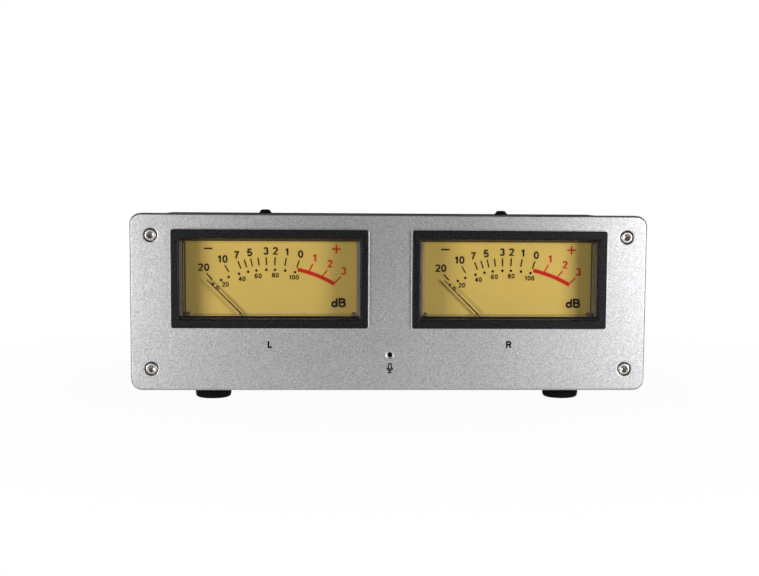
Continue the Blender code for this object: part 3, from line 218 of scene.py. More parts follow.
class RearSettings(bpy.types.PropertyGroup):
    """Sockets, switches and the knob."""

    socket_hole: length("Socket hole", "Diameter of the rear panel's holes for the sockets and the inlet", 8.6)
    selector_hole: length("Selector hole", "Diameter of the rear panel's hole for the selector", 7.0)
    gain_hole: length("Gain hole", "Diameter of the rear panel's hole for the gain control", 9.6)
    switch_lap: length("Switch lap", "How far the power switch's flange laps over its slot", 1.1)
    nut_flats: length("Nut flats", "Width across the flats of the sockets' nuts", 9.9)
    small_nut_flats: length("Small nut flats", "Width across the flats of the selector's nut", 8.0)
    knob_nut_flats: length("Knob nut flats", "Width across the flats of the gain control's nut", 11.0)
    nut_thickness: length("Nut thickness", "Thickness of the nuts", 1.6)
    shell: length("Socket shell", "Outer diameter of a line socket's shell", 8.4)
    shell_wall: length("Socket wall", "Wall of a line socket's shell", 0.6)
    contact: length("Socket contact", "Outer diameter of a line socket's centre contact", 4.6)
    bore: length("Socket bore", "Bore of a line socket's centre contact", 3.4)
    rocker_radius: length("Rocker radius", "Reach of the power rocker's ends from its pivot", 7.6)
    rocker_rise: length("Rocker rise", "Height of the power rocker's ends over its pivot", 2.4)
    rocker_dip: length("Rocker dip", "Height of the power rocker's middle over its pivot", 1.2)
    rocker_tilt: FloatProperty(
        name="Rocker tilt", description="How the power rocker is tipped at rest", default=math.radians(10.0),
        subtype="ANGLE")
    rocker_mark: length("Rocker mark", "Size of the printed bar and ring on the rocker", 2.6)
    rocker_line: length("Rocker line", "Line width of the printed bar and ring", 0.45)
    knob_flutes: IntProperty(name="Knob flutes", description="Number of grooves round the knob", default=24)
    knob_groove: length("Knob groove", "Depth of the grooves round the knob", 0.45)
    brass: colour("Brass", "Gilt sockets, bridges and springs", 0.66, 0.45, 0.15)
    black: colour("Moulded black", "Switches, inlet and knob", 0.014, 0.014, 0.015)
    white: colour("White", "White print and insulator", 0.78, 0.78, 0.76)
    red: colour("Red", "Red insulator", 0.42, 0.02, 0.018)


class StageSettings(bpy.types.PropertyGroup):
    """Camera, light and floor."""

    lens: FloatProperty(name="Focal length", description="Camera's focal length", default=63.09, unit="CAMERA")
    shift_x: FloatProperty(name="Shift across", description="Camera's shift across", default=-0.0282)
    shift_y: FloatProperty(name="Shift up", description="Camera's shift up", default=0.0290)
    place: FloatVectorProperty(
        name="Camera place", description="Where the camera stands", default=(-0.0248, -0.67885, 0.09785),
        subtype="TRANSLATION", unit="LENGTH", precision=5)
    turn: FloatVectorProperty(
        name="Camera turn", description="How the camera is turned", subtype="EULER",
        default=(math.radians(84.85), math.radians(-0.408), math.radians(-2.773)))
    lamp_left: FloatProperty(name="Left lamp", description="Power of the left lamp", default=1.72, unit="POWER")
    lamp_right: FloatProperty(name="Right lamp", description="Power of the right lamp", default=1.95, unit="POWER")
    lamp_x: length("Lamp distance", "Distance of the side lamps from the middle", 358.0)
    lamp_y: length("Lamp lead", "Distance of the side lamps in front of the origin", 357.0)
    lamp_z: length("Lamp height", "Height of the side lamps", 68.0)
    lamp_width: length("Lamp width", "Width of the side lamps", 150.0)
    lamp_height: length("Lamp size", "Height of the side lamps' faces", 52.0)
    lamp_rear: FloatProperty(name="Rear lamps", description="Power of each rear lamp", default=1.2, unit="POWER")
    lamp_top: FloatProperty(name="Top lamp", description="Power of the top lamp", default=2.7, unit="POWER")
    ambient: share("Ambient", "Light from all round", 0.03, 10.0)
    ceiling: share("Ceiling", "Light that polished pieces mirror from above", 0.07, 10.0)
    floor: colour("Floor", "Floor under the object", 0.34, 0.34, 0.34)
    floor_white: share("Floor white", "Share of the floor's white that no shadow dims, near the object", 0.97)
    mirror: share("Mirrored white", "Share of the background's white that metal and glass show", 0.05)
    floor_mirror: share("Floor mirrored", "Share of the near floor's white that polished pieces mirror", 0.66)


class LevelMeterSettings(bpy.types.PropertyGroup):
    """All settings of the level meter."""

    front: PointerProperty(type=FrontSettings, name="Front")
    meters: PointerProperty(type=MeterSettings, name="Meters")
    case: PointerProperty(type=CaseSettings, name="Case")
    rear: PointerProperty(type=RearSettings, name="Rear")
    stage: PointerProperty(type=StageSettings, name="Stage")


def settings():
    """The scene's settings."""
    return bpy.context.scene.level_meter


# Outlines


def arc(centre, radii, first, last, steps):
    """Points along an elliptic arc, in degrees."""
    points = []
    for i in range(steps + 1):
        angle = math.radians(first + (last - first) * i / steps)
        points.append((centre[0] + radii[0] * math.cos(angle), centre[1] + radii[1] * math.sin(angle)))
    return points


def circle(diameter, count=ROUND_COUNT):
    """Round outline, with the points of a hexagon's corners among its own."""
    return [
        (diameter / 2 * math.cos(math.tau * i / count), diameter / 2 * math.sin(math.tau * i / count))
        for i in range(count)]


def hexagon(flats, count=ROUND_COUNT):
    """Hexagonal outline with as many points as a round one, at the same angles."""
    points = []
    for u, v in circle(2.0, count):
        turn = math.atan2(v, u) % (math.pi / 3) - math.pi / 6
        reach = flats / 2 / math.cos(turn)
        points.append((u * reach, v * reach))
    return points


def fluted(diameter, groove, flutes, count):
    """Round outline with shallow grooves."""
    points = []
    for i in range(count):
        turn = math.tau * i / count
        radius = diameter / 2 - groove * max(0.0, math.cos(flutes * turn)) ** 2
        points.append((radius * math.cos(turn), radius * math.sin(turn)))
    return points


def rounded(width, height, radius, steps=CORNER_STEPS):
    """Rectangle with round corners."""
    points = []
    for i, (u, v) in enumerate(((1, 1), (-1, 1), (-1, -1), (1, -1))):
        corner = (u * (width / 2 - radius), v * (height / 2 - radius))
        points += arc(corner, (radius, radius), 90 * i, 90 * (i + 1), steps)
    return points


def eased(corners, steps=5):
    """Open line through (u, v, radius) corners, each rounded by its radius."""
    points = []
    for i, (u, v, radius) in enumerate(corners):
        here = Vector((u, v))
        if radius == 0 or i in (0, len(corners) - 1):
            points.append((u, v))
            continue
        before = (Vector(corners[i - 1][:2]) - here).normalized()
        after = (Vector(corners[i + 1][:2]) - here).normalized()
        half = before.angle(after) / 2
        centre = here + (before + after).normalized() * radius / math.sin(half)
        start = here + before * radius / math.tan(half) - centre
        end = here + after * radius / math.tan(half) - centre
        sweep = math.atan2(start.cross(end), start.dot(end))
        for k in range(steps + 1):
            spoke = Matrix.Rotation(sweep * k / steps, 2) @ start
            points.append(tuple(centre + spoke))
    return points


def across(outline, centre, along, axis="Y"):
    """Points of a flat outline laid across an axis, at a place along it."""
    if axis == "Y":
        return [(centre[0] + u, along, centre[1] + v) for u, v in outline]
    return [(centre[0] + u, centre[1] + v, along) for u, v in outline]


# Meshes


def skin(bm, rings, wrap=False):
    """Faces between neighbouring rings of equal count. A wrapped skin also joins the last to the first."""
    loops = [[bm.verts.new(point) for point in ring] for ring in rings]
    pairs = list(zip(loops, loops[1:]))
    if wrap:
        pairs.append((loops[-1], loops[0]))
    for lower, upper in pairs:
        for i in range(len(lower)):
            bm.faces.new((lower[i - 1], lower[i], upper[i], upper[i - 1]))
    return loops


def solid(bm, rings):
    """Closed skin with a flat cap at each end."""
    loops = skin(bm, rings)
    bm.faces.new(loops[0])
    bm.faces.new(loops[-1])


def pierced(bm, chains):
    """Plate whose outer wall is the first chain of rings and whose holes are the others."""
    walls = [skin(bm, rings) for rings in chains]
    for end in (0, -1):
        loops = [wall[end] for wall in walls]
        corners = [corner for loop in loops for corner in loop]
        for triangle in tessellate_polygon([[corner.co for corner in loop] for loop in loops]):
            bm.faces.new([corners[i] for i in triangle])


def turned(bm, profile, centre, axis="Y", count=ROUND_COUNT):
    """Solid of (radius, place along the axis) points turned about the axis."""
    solid(bm, [across(circle(2 * radius, count), centre, along, axis) for radius, along in profile])


def piece(name, bm, finish, node=None, body=None, crease=35.0):
    """Close a mesh into a finished piece that rides on its node's body and stands for the node."""
    bmesh.ops.recalc_face_normals(bm, faces=bm.faces[:])
    mesh = bpy.data.meshes.new(name)
    bm.to_mesh(mesh)
    bm.free()
    mesh.materials.append(finish)
    mesh.shade_smooth()
    mesh.set_sharp_from_angle(angle=math.radians(crease))
    item = bpy.data.objects.new(name, mesh)
    bpy.context.scene.collection.objects.link(item)
    normals = item.modifiers.new("face_normals", "WEIGHTED_NORMAL")
    normals.keep_sharp = True
    if node:
        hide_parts(node)
    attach(item, body or NODES[node]["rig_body"])
    return item


def fine(node):
    """Name of the piece that stands for a node."""
    return f"{node}.fine"


def softened(node, finish, edge):
    """Copy of a node's solid with its edges rounded, which stands for the node."""
    bm = bmesh.new()
    bm.from_mesh(NODES[node].data)
    bmesh.ops.remove_doubles(bm, verts=bm.verts[:], dist=0.002 * MM)
    bmesh.ops.dissolve_limit(
        bm, angle_limit=math.radians(0.5), verts=bm.verts[:], edges=bm.edges[:])
    item = piece(fine(node), bm, finish, node)
    bevel = item.modifiers.new("edges", "BEVEL")
    bevel.width = edge
    bevel.segments = 2
    bevel.limit_method = "ANGLE"
    bevel.angle_limit = math.radians(50.0)
    item.modifiers.move(1, 0)
    return item


def dress(node, finish):
    """Give a node that keeps its own shape a new finish."""
    mesh = NODES[node].data
    mesh.materials.clear()
    mesh.materials.append(finish)


def middle(node):
    """Centre of a node's box."""
    low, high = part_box(node)
    return (low + high) / 2


def pivot_of(body):
    """Place of the joint that carries a body."""
    return next(Vector(joint["pos_m"]) for joint in frame["joints"] if joint["child"] == body)


# Print


def strokes():
    """Lines of each printed character, one unit high, with its width."""
    bowl = arc((0.27, 0.28), (0.205, 0.22), 0, 360, 20)[:-1]
    return {
        "0": (0.56, [(arc((0.28, 0.5), (0.205, 0.435), 0, 360, 24)[:-1], True)]),
        "1": (0.42, [([(0.27, 0.0), (0.27, 1.0)], False), ([(0.05, 0.74), (0.17, 0.78), (0.27, 0.93)], False)]),
        "2": (0.56, [(
            arc((0.275, 0.71), (0.205, 0.225), 170, -35, 14) + [(0.085, 0.07), (0.52, 0.07)], False)]),
        "3": (0.56, [
            (arc((0.27, 0.725), (0.185, 0.205), 160, -75, 12), False),
            (arc((0.27, 0.285), (0.21, 0.225), 75, -160, 14), False)]),
        "4": (0.58, [
            ([(0.40, 0.0), (0.40, 0.97)], False), ([(0.38, 0.93), (0.06, 0.28)], False),
            ([(0.02, 0.26), (0.55, 0.26)], False)]),
        "5": (0.56, [(
            [(0.49, 0.93), (0.15, 0.93), (0.09, 0.47)]
            + arc((0.275, 0.31), (0.215, 0.25), 140, -150, 16), False)]),
        "6": (0.56, [
            (bowl, True), (arc((0.29, 0.50), (0.225, 0.435), 45, 205, 14), False)]),
        "7": (0.54, [([(0.04, 0.93), (0.49, 0.93), (0.33, 0.56), (0.22, 0.0)], False)]),
        "8": (0.56, [(arc((0.27, 0.73), (0.17, 0.205), 0, 360, 18)[:-1], True), (bowl, True)]),
        "L": (0.52, [([(0.07, 1.0), (0.07, 0.07), (0.50, 0.07)], False)]),
        "R": (0.62, [
            ([(0.07, 0.0), (0.07, 0.93), (0.32, 0.93)]
             + arc((0.34, 0.725), (0.19, 0.205), 90, -90, 10) + [(0.07, 0.52)], False),
            ([(0.33, 0.52), (0.55, 0.0)], False)]),
        "d": (0.58, [
            (arc((0.27, 0.32), (0.20, 0.26), 0, 360, 20)[:-1], True), ([(0.49, 0.0), (0.49, 1.0)], False)]),
        "B": (0.62, [(
            [(0.07, 0.07), (0.07, 0.93), (0.33, 0.93)] + arc((0.34, 0.735), (0.18, 0.195), 80, -80, 10)
            + [(0.10, 0.53)], False), ([(0.10, 0.53), (0.35, 0.53)]
            + arc((0.36, 0.30), (0.20, 0.23), 85, -85, 10) + [(0.07, 0.07)], False)]),
    }


def draw(bm, points, line, near, far, closed=False):
    """Raised line of ink through flat points, between two places along Y."""
    rings = []
    last = len(points) - 1
    for i, point in enumerate(points):
        here = Vector(point)
        before = here - Vector(points[i - 1]) if i > 0 or closed else None
        after = Vector(points[(i + 1) % len(points)]) - here if i < last or closed else None
        ways = [way.normalized() for way in (before, after) if way is not None]
        way = sum(ways, Vector((0.0, 0.0))).normalized()
        side = Vector((-way.y, way.x))
        reach = line / 2 / max(0.6, way.dot(ways[0]))
        left = here + side * reach
        right = here - side * reach
        rings.append([
            (left.x, near, left.y), (right.x, near, right.y), (right.x, far, right.y), (left.x, far, left.y)])
    if closed:
        skin(bm, rings, wrap=True)
    else:
        solid(bm, rings)


def write(bm, text, centre, height, line, near, far):
    """Characters drawn about a centre."""
    shapes = strokes()
    wide = LETTER_WIDTH * height
    spacing = 0.12 * height
    total = sum(shapes[letter][0] * wide for letter in text) + spacing * (len(text) - 1)
    start = centre[0] - total / 2
    base = centre[1] - height / 2
    for letter in text:
        width, lines = shapes[letter]
        for points, closed in lines:
            placed = [(start + u * wide, base + v * height) for u, v in points]
            draw(bm, placed, line, near, far, closed)
        start += width * wide + spacing


# Shader nodes


def add(tree, kind, inputs=None, **values):
    """New node with its settings, and its inputs set or linked."""
    node = tree.nodes.new(kind)
    for key, value in values.items():
        setattr(node, key, value)
    for key, value in (inputs or {}).items():
        if isinstance(value, bpy.types.NodeSocket):
            tree.links.new(value, node.inputs[key])
        else:
            node.inputs[key].default_value = value
    return node


def compute(tree, operation, *values, clamp=False):
    """Result of one Math node."""
    return add(tree, "ShaderNodeMath", dict(enumerate(values)), operation=operation, use_clamp=clamp).outputs[0]


def blend(tree, factor, first, second, kind="MIX"):
    """Result of one colour Mix node."""
    node = add(tree, "ShaderNodeMix", data_type="RGBA", blend_type=kind)
    for index, value in ((0, factor), (6, first), (7, second)):
        if isinstance(value, bpy.types.NodeSocket):
            tree.links.new(value, node.inputs[index])
        else:
            node.inputs[index].default_value = value
    return node.outputs[2]


def spread(tree, value, low, high, new_low, new_high):
    """Result of one Map Range node."""
    inputs = {"Value": value, "From Min": low, "From Max": high, "To Min": new_low, "To Max": new_high}
    return add(tree, "ShaderNodeMapRange", inputs).outputs["Result"]


def node_group(name, inputs, outputs, build):
    """Node group with named sockets, built on first use."""
    if name in bpy.data.node_groups:
        return bpy.data.node_groups[name]
    tree = bpy.data.node_groups.new(name, "ShaderNodeTree")
    for title, value in inputs.items():
        socket = tree.interface.new_socket(title, in_out="INPUT", socket_type="NodeSocketFloat")
        socket.default_value = value
    for title in outputs:
        tree.interface.new_socket(title, in_out="OUTPUT", socket_type="NodeSocketFloat")
    entry = tree.nodes.new("NodeGroupInput")
    results = build(tree, entry.outputs)
    exit_node = tree.nodes.new("NodeGroupOutput")
    for title in outputs:
        tree.links.new(results[title], exit_node.inputs[title])
    return tree


def build_grain(tree, entry):
    """Fine irregular grain: its height, and a tone that changes from grain to grain."""
    place = add(tree, "ShaderNodeTexCoord").outputs["Object"]
    inputs = {"Vector": place, "Scale": entry["Scale"], "Detail": 2.0, "Roughness": 0.65}
    height = add(tree, "ShaderNodeTexNoise", inputs).outputs["Fac"]
    coarse = compute(tree, "MULTIPLY", entry["Scale"], 0.75)
    inputs = {"Vector": place, "Scale": coarse, "Detail": 3.0, "Roughness": 0.7}
    tone = add(tree, "ShaderNodeTexNoise", inputs).outputs["Fac"]
    return {"Height": height, "Tone": spread(tree, tone, 0.35, 0.65, 0.0, 1.0)}


def build_clouds(tree, entry):
    """Slow change over the surface, between two values."""
    place = add(tree, "ShaderNodeTexCoord").outputs["Object"]
    inputs = {"Vector": place, "Scale": entry["Scale"], "Detail": 3.0, "Roughness": 0.55}
    noise = add(tree, "ShaderNodeTexNoise", inputs).outputs["Fac"]
    return {"Value": spread(tree, noise, 0.3, 0.7, entry["Low"], entry["High"])}


def build_dust(tree, entry):
    """Thin dust that settles on faces that look up."""
    normal = add(tree, "ShaderNodeNewGeometry").outputs["Normal"]
    rise = add(tree, "ShaderNodeSeparateXYZ", {0: normal}).outputs["Z"]
    place = add(tree, "ShaderNodeTexCoord").outputs["Object"]
    inputs = {"Vector": place, "Scale": 900.0, "Detail": 4.0, "Roughness": 0.7}
    specks = add(tree, "ShaderNodeTexNoise", inputs).outputs["Fac"]
    specks = spread(tree, specks, 0.45, 0.75, 0.0, 1.0)
    level = spread(tree, rise, 0.6, 1.0, 0.0, entry["Amount"])
    return {"Mask": compute(tree, "MULTIPLY", specks, level, clamp=True)}


def build_rub(tree, entry):
    """Edges that handling has rubbed bright."""
    round_normal = add(tree, "ShaderNodeBevel", {"Radius": entry["Width"]}, samples=6).outputs["Normal"]
    normal = add(tree, "ShaderNodeNewGeometry").outputs["Normal"]
    cosine = add(tree, "ShaderNodeVectorMath", {0: round_normal, 1: normal}, operation="DOT_PRODUCT")
    bend = spread(tree, cosine.outputs["Value"], 0.98, 0.80, 0.0, entry["Amount"])
    place = add(tree, "ShaderNodeTexCoord").outputs["Object"]
    inputs = {"Vector": place, "Scale": 420.0, "Detail": 3.0, "Roughness": 0.6}
    patches = add(tree, "ShaderNodeTexNoise", inputs).outputs["Fac"]
    patches = spread(tree, patches, 0.4, 0.62, 0.0, 1.0)
    return {"Mask": compute(tree, "MULTIPLY", bend, patches, clamp=True)}


GROUPS = {
    "Fine grain": ({"Scale": 1000.0}, ("Height", "Tone"), build_grain),
    "Slow clouds": ({"Scale": 20.0, "Low": 0.4, "High": 0.6}, ("Value",), build_clouds),
    "Settled dust": ({"Amount": 0.1}, ("Mask",), build_dust),
    "Rubbed edges": ({"Width": 0.3 * MM, "Amount": 0.5}, ("Mask",), build_rub),
}


class Surface:
    """A material in the making: one Principled shader and the nodes that feed it."""

    def __init__(self, name):
        self.material = bpy.data.materials.new(name)
        self.material.use_nodes = True
        self.tree = self.material.node_tree
        self.shader = self.tree.nodes["Principled BSDF"]

    def set(self, **values):
        """Constants on the shader's own sockets."""
        for key, value in values.items():
            self.shader.inputs[key.replace("_", " ")].default_value = value

    def feed(self, socket, output):
        """Link an output to one of the shader's sockets."""
        self.tree.links.new(output, self.shader.inputs[socket])

    def group(self, name, **inputs):
        """Outputs of a shared effect with this material's own values."""
        node = add(self.tree, "ShaderNodeGroup", node_tree=node_group(name, *GROUPS[name]))
        for key, value in inputs.items():
            node.inputs[key].default_value = value
        return node.outputs

    def bump(self, height, depth):
        """Relief on the shader's normal."""
        inputs = {"Height": height, "Distance": depth, "Strength": 1.0}
        self.feed("Normal", add(self.tree, "ShaderNodeBump", inputs).outputs["Normal"])

    def tint(self, factor, first, second):
        """Base colour between two colours."""
        mixed = blend(self.tree, factor, first, second)
        self.feed("Base Color", mixed)
        return mixed


def scaled(rgba, factor):
    """A colour made lighter or darker."""
    return (*(min(1.0, part * factor) for part in rgba[:3]), 1.0)


def finish(build):
    """Build a material on first use, and give the same one after that."""
    def once():
        name = build.__name__
        if name not in bpy.data.materials:
            build(Surface(name), settings())
        return bpy.data.materials[name]
    return once


@finish
def blasted_silver(surface, props):
    """Bead-blasted, anodised aluminium of the front panel."""
    front = props.front
    grain = surface.group("Fine grain", Scale=front.grain_scale)
    surface.tint(grain["Tone"], scaled(front.silver, 0.55), scaled(front.silver, 1.45))
    clouds = surface.group("Slow clouds", Scale=18.0, Low=0.435, High=0.475)
    surface.feed("Roughness", clouds["Value"])
    surface.bump(grain["Height"], front.grain_depth)
    surface.set(Metallic=1.0)


@finish
def bright_steel(surface, props):
    """Bright plated steel with fine turning marks."""
    grain = surface.group("Fine grain", Scale=2600.0)
    steel = props.front.steel
    surface.tint(grain["Tone"], scaled(steel, 0.85), scaled(steel, 1.12))
    clouds = surface.group("Slow clouds", Scale=300.0, Low=0.36, High=0.48)
    surface.feed("Roughness", clouds["Value"])
    surface.bump(grain["Height"], 0.004 * MM)
    surface.set(Metallic=1.0)


@finish
def black_steel(surface, props):
    """Oxide-black steel of the case screws, a little bright on its edges."""
    rub = surface.group("Rubbed edges", Width=0.2 * MM, Amount=0.35)
    black = props.case.black_steel
    surface.tint(rub["Mask"], black, scaled(black, 6.0))
    clouds = surface.group("Slow clouds", Scale=260.0, Low=0.34, High=0.5)
    surface.feed("Roughness", clouds["Value"])
    grain = surface.group("Fine grain", Scale=2400.0)
    surface.bump(grain["Height"], 0.006 * MM)
    surface.set(Metallic=0.6)


@finish
def grained_charcoal(surface, props):
    """Moulded bezel with a fine spark-eroded grain."""
    charcoal = props.meters.charcoal
    grain = surface.group("Fine grain", Scale=1500.0)
    surface.tint(grain["Tone"], scaled(charcoal, 0.02), scaled(charcoal, 3.2))
    surface.feed("Roughness", spread(surface.tree, grain["Tone"], 0.0, 1.0, 0.26, 0.6))
    surface.bump(grain["Height"], 0.12 * MM)
    surface.set(Specular_IOR_Level=0.12)


@finish
def clear_acrylic(surface, props):
    """Clear lens. Rays from the lamps pass straight through, so that the dial is lit."""
    surface.set(Base_Color=(1.0, 1.0, 1.0, 1.0), Roughness=0.0, IOR=1.49, Transmission_Weight=1.0,
                Specular_IOR_Level=0.3)
    tree = surface.tree
    path = add(tree, "ShaderNodeLightPath")
    through = add(tree, "ShaderNodeBsdfTransparent", {"Color": (0.92, 0.92, 0.92, 1.0)})
    either = compute(tree, "MAXIMUM", path.outputs["Is Shadow Ray"], path.outputs["Is Diffuse Ray"])
    mixed = add(tree, "ShaderNodeMixShader", {
        0: either, 1: surface.shader.outputs["BSDF"], 2: through.outputs["BSDF"]})
    tree.links.new(mixed.outputs["Shader"], tree.nodes["Material Output"].inputs["Surface"])


@finish
def printed_gold(surface, props):
    """Dial plate with a matt gold print, a little uneven."""
    gold = props.meters.gold
    clouds = surface.group("Slow clouds", Scale=45.0, Low=0.0, High=1.0)
    surface.tint(clouds["Value"], scaled(gold, 0.97), scaled(gold, 1.03))
    grain = surface.group("Fine grain", Scale=2600.0)
    rough = spread(surface.tree, grain["Tone"], 0.0, 1.0, 0.42, 0.55)
    surface.feed("Roughness", rough)
    surface.bump(grain["Height"], 0.004 * MM)
    surface.set(Specular_IOR_Level=0.15)


def ink_finish(surface, rgba):
    """Print of one colour, slightly uneven in cover and gloss."""
    grain = surface.group("Fine grain", Scale=3000.0)
    surface.tint(grain["Tone"], scaled(rgba, 0.85), scaled(rgba, 1.15))
    surface.feed("Roughness", spread(surface.tree, grain["Tone"], 0.0, 1.0, 0.5, 0.7))
    surface.set(Specular_IOR_Level=0.03)


@finish
def black_ink(surface, props):
    """Black print."""
    ink_finish(surface, props.meters.ink)


@finish
def red_ink(surface, props):
    """Red print."""
    ink_finish(surface, props.meters.red)


@finish
def white_ink(surface, props):
    """White print at the rear."""
    ink_finish(surface, props.rear.white)


@finish
def needle_lacquer(surface, props):
    """Black lacquer of the needles."""
    ink = props.meters.ink
    rub = surface.group("Rubbed edges", Width=0.1 * MM, Amount=0.15)
    surface.tint(rub["Mask"], ink, scaled(ink, 4.0))
    clouds = surface.group("Slow clouds", Scale=400.0, Low=0.45, High=0.6)
    surface.feed("Roughness", clouds["Value"])
    surface.set(Specular_IOR_Level=0.05)


@finish
def powder_coat(surface, props):
    """Black powder coat with a low orange peel and a trace of dust."""
    black = props.case.black
    dust = surface.group("Settled dust", Amount=0.05)
    surface.tint(dust["Mask"], black, (0.30, 0.29, 0.27, 1.0))
    clouds = surface.group("Slow clouds", Scale=30.0, Low=0.40, High=0.50)
    surface.feed("Roughness", clouds["Value"])
    grain = surface.group("Fine grain", Scale=1100.0)
    surface.bump(grain["Height"], 0.035 * MM)


@finish
def foot_rubber(surface, props):
    """Black rubber with a dull bloom."""
    rubber = props.case.rubber
    clouds = surface.group("Slow clouds", Scale=220.0, Low=0.0, High=1.0)
    surface.tint(clouds["Value"], scaled(rubber, 0.8), scaled(rubber, 1.5))
    grain = surface.group("Fine grain", Scale=1800.0)
    surface.feed("Roughness", spread(surface.tree, grain["Tone"], 0.0, 1.0, 0.62, 0.82))
    surface.bump(grain["Height"], 0.02 * MM)
    surface.set(Specular_IOR_Level=0.06)


@finish
def gilt_brass(surface, props):
    """Gilt brass of the sockets, bridges and springs."""
    brass = props.rear.brass
    clouds = surface.group("Slow clouds", Scale=240.0, Low=0.0, High=1.0)
    surface.tint(clouds["Value"], scaled(brass, 0.9), scaled(brass, 1.1))
    grain = surface.group("Fine grain", Scale=2400.0)
    surface.feed("Roughness", spread(surface.tree, grain["Tone"], 0.0, 1.0, 0.2, 0.32))
    surface.bump(grain["Height"], 0.003 * MM)
    surface.set(Metallic=1.0)


def plastic_finish(surface, rgba, low, high):
    """Moulded plastic with a fine grain."""
    grain = surface.group("Fine grain", Scale=1700.0)
    surface.tint(grain["Tone"], scaled(rgba, 0.85), scaled(rgba, 1.2))
    clouds = surface.group("Slow clouds", Scale=120.0, Low=low, High=high)
    surface.feed("Roughness", clouds["Value"])
    surface.bump(grain["Height"], 0.012 * MM)


@finish
def moulded_black(surface, props):
    """Black plastic of the knob, switch and inlet."""
    plastic_finish(surface, props.rear.black, 0.34, 0.46)


@finish
def moulded_white(surface, props):
    """White insulator."""
    plastic_finish(surface, props.rear.white, 0.3, 0.4)


@finish
def moulded_red(surface, props):
    """Red insulator."""
    plastic_finish(surface, props.rear.red, 0.3, 0.4)


@finish
def painted_shade_brown(surface, props):
    """Dark brown of the liners round the dials: painted shade, the colour of the dial's rim in shadow."""
    plastic_finish(surface, props.meters.brown, 0.5, 0.6)
    surface.set(Specular_IOR_Level=0.05)


@finish
def painted_highlight_grey(surface, props):
    """Pale grey behind the lenses' sides: a painted highlight for the light that the clear lens walls catch."""
    plastic_finish(surface, props.meters.strip_highlight, 0.5, 0.6)
    surface.set(Specular_IOR_Level=0.1)


@finish
def natural_nylon(surface, props):
    """Pale nylon of the board supports."""
    plastic_finish(surface, props.case.nylon, 0.4, 0.5)
    surface.set(Subsurface_Weight=0.2, Subsurface_Radius=(0.001, 0.001, 0.0008))


@finish
def sintered_grey(surface, props):
    """Sintered grey of the core magnets."""
    magnet = props.case.magnet
    grain = surface.group("Fine grain", Scale=1500.0)
    surface.tint(grain["Tone"], scaled(magnet, 0.7), scaled(magnet, 1.3))
    surface.feed("Roughness", spread(surface.tree, grain["Tone"], 0.0, 1.0, 0.4, 0.65))
    surface.bump(grain["Height"], 0.02 * MM)
    surface.set(Metallic=0.8)


@finish
def solder_mask(surface, props):
    """Green solder mask over copper tracks."""
    tree = surface.tree
    place = add(tree, "ShaderNodeTexCoord").outputs["Object"]
    bricks = add(tree, "ShaderNodeTexBrick", {
        "Vector": place, "Scale": 160.0, "Mortar Size": 0.06, "Mortar Smooth": 0.3, "Bias": 0.0,
        "Brick Width": 0.9, "Row Height": 0.35})
    board = props.case.board
    surface.tint(bricks.outputs["Fac"], board, scaled(board, 2.2))
    surface.bump(bricks.outputs["Fac"], 0.03 * MM)
    clouds = surface.group("Slow clouds", Scale=90.0, Low=0.28, High=0.4)
    surface.feed("Roughness", clouds["Value"])


# Fasteners


def cap_screw(node):
    """Socket cap screw along Y with its head flush with the panel's face."""
    low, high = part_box(node)
    centre = ((low.x + high.x) / 2, (low.z + high.z) / 2)
    head = high.x - low.x
    thread = 3.0 * MM
    key = 2.6 * MM
    under = low.y + 3.0 * MM
    deep = low.y + 2.2 * MM
    outside = eased([
        (0.55 * thread / 2, high.y, 0), (thread / 2, high.y - 0.4 * MM, 0), (thread / 2, under, 0),
        (head / 2, under, 0.15 * MM), (head / 2, low.y, 0.5 * MM), (0.62 * head / 2, low.y, 0)])
    rings = [across(circle(2 * radius), centre, along) for radius, along in outside]
    rings += [
        across(circle(1.22 * key), centre, low.y + 0.02 * MM),
        across(hexagon(1.03 * key), centre, low.y + 0.22 * MM),
        across(hexagon(key), centre, low.y + 0.3 * MM),
        across(hexagon(key), centre, deep),
        across(hexagon(0.2 * key), centre, deep + 0.45 * MM)]
    bm = bmesh.new()
    solid(bm, rings)
    piece(fine(node), bm, bright_steel(), node)


def button_screw(node, axis):
    """Flanged button-head screw along an axis, with its head at the high end."""
    low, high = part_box(node)
    index = "XYZ".index(axis)
    others = [i for i in range(3) if i != index]
    centre = [(low[i] + high[i]) / 2 for i in others]
    head = high[others[0]] - low[others[0]]
    tip, top = low[index], high[index]
    seat = top - 2.1 * MM
    thread = 3.0 * MM
    key = 2.0 * MM
    profile = eased([
        (0.55 * thread / 2, tip, 0), (thread / 2, tip + 0.4 * MM, 0), (thread / 2, seat, 0),
        (head / 2, seat, 0.12 * MM), (head / 2, seat + 0.62 * MM, 0.22 * MM),
        (0.84 * head / 2, seat + 0.75 * MM, 0.2 * MM), (0.72 * head / 2, top - 0.35 * MM, 0.6 * MM),
        (0.42 * head / 2, top, 0.3 * MM), (0.40 * head / 2, top, 0)])
    rings = [across(circle(2 * radius), centre, along, axis) for radius, along in profile]
    rings += [
        across(hexagon(1.05 * key), centre, top - 0.04 * MM, axis),
        across(hexagon(key), centre, top - 0.12 * MM, axis),
        across(hexagon(key), centre, top - 1.2 * MM, axis),
        across(hexagon(0.2 * key), centre, top - 1.3 * MM, axis)]
    bm = bmesh.new()
    solid(bm, rings)
    piece(fine(node), bm, black_steel(), node)


def hex_nut(name, centre, bore, flats, start, thickness):
    """Chamfered hex nut on the rear panel, round a threaded bushing."""
    end = start + thickness
    ease = 0.3 * MM
    rings = [
        across(circle(bore), centre, start), across(hexagon(flats), centre, start),
        across(hexagon(flats), centre, end - ease), across(hexagon(flats - 2 * ease), centre, end),
        across(circle(bore + 2 * ease), centre, end), across(circle(bore), centre, end - ease)]
    bm = bmesh.new()
    skin(bm, rings, wrap=True)
    piece(name, bm, bright_steel(), body="chassis", crease=25.0)


# Operators


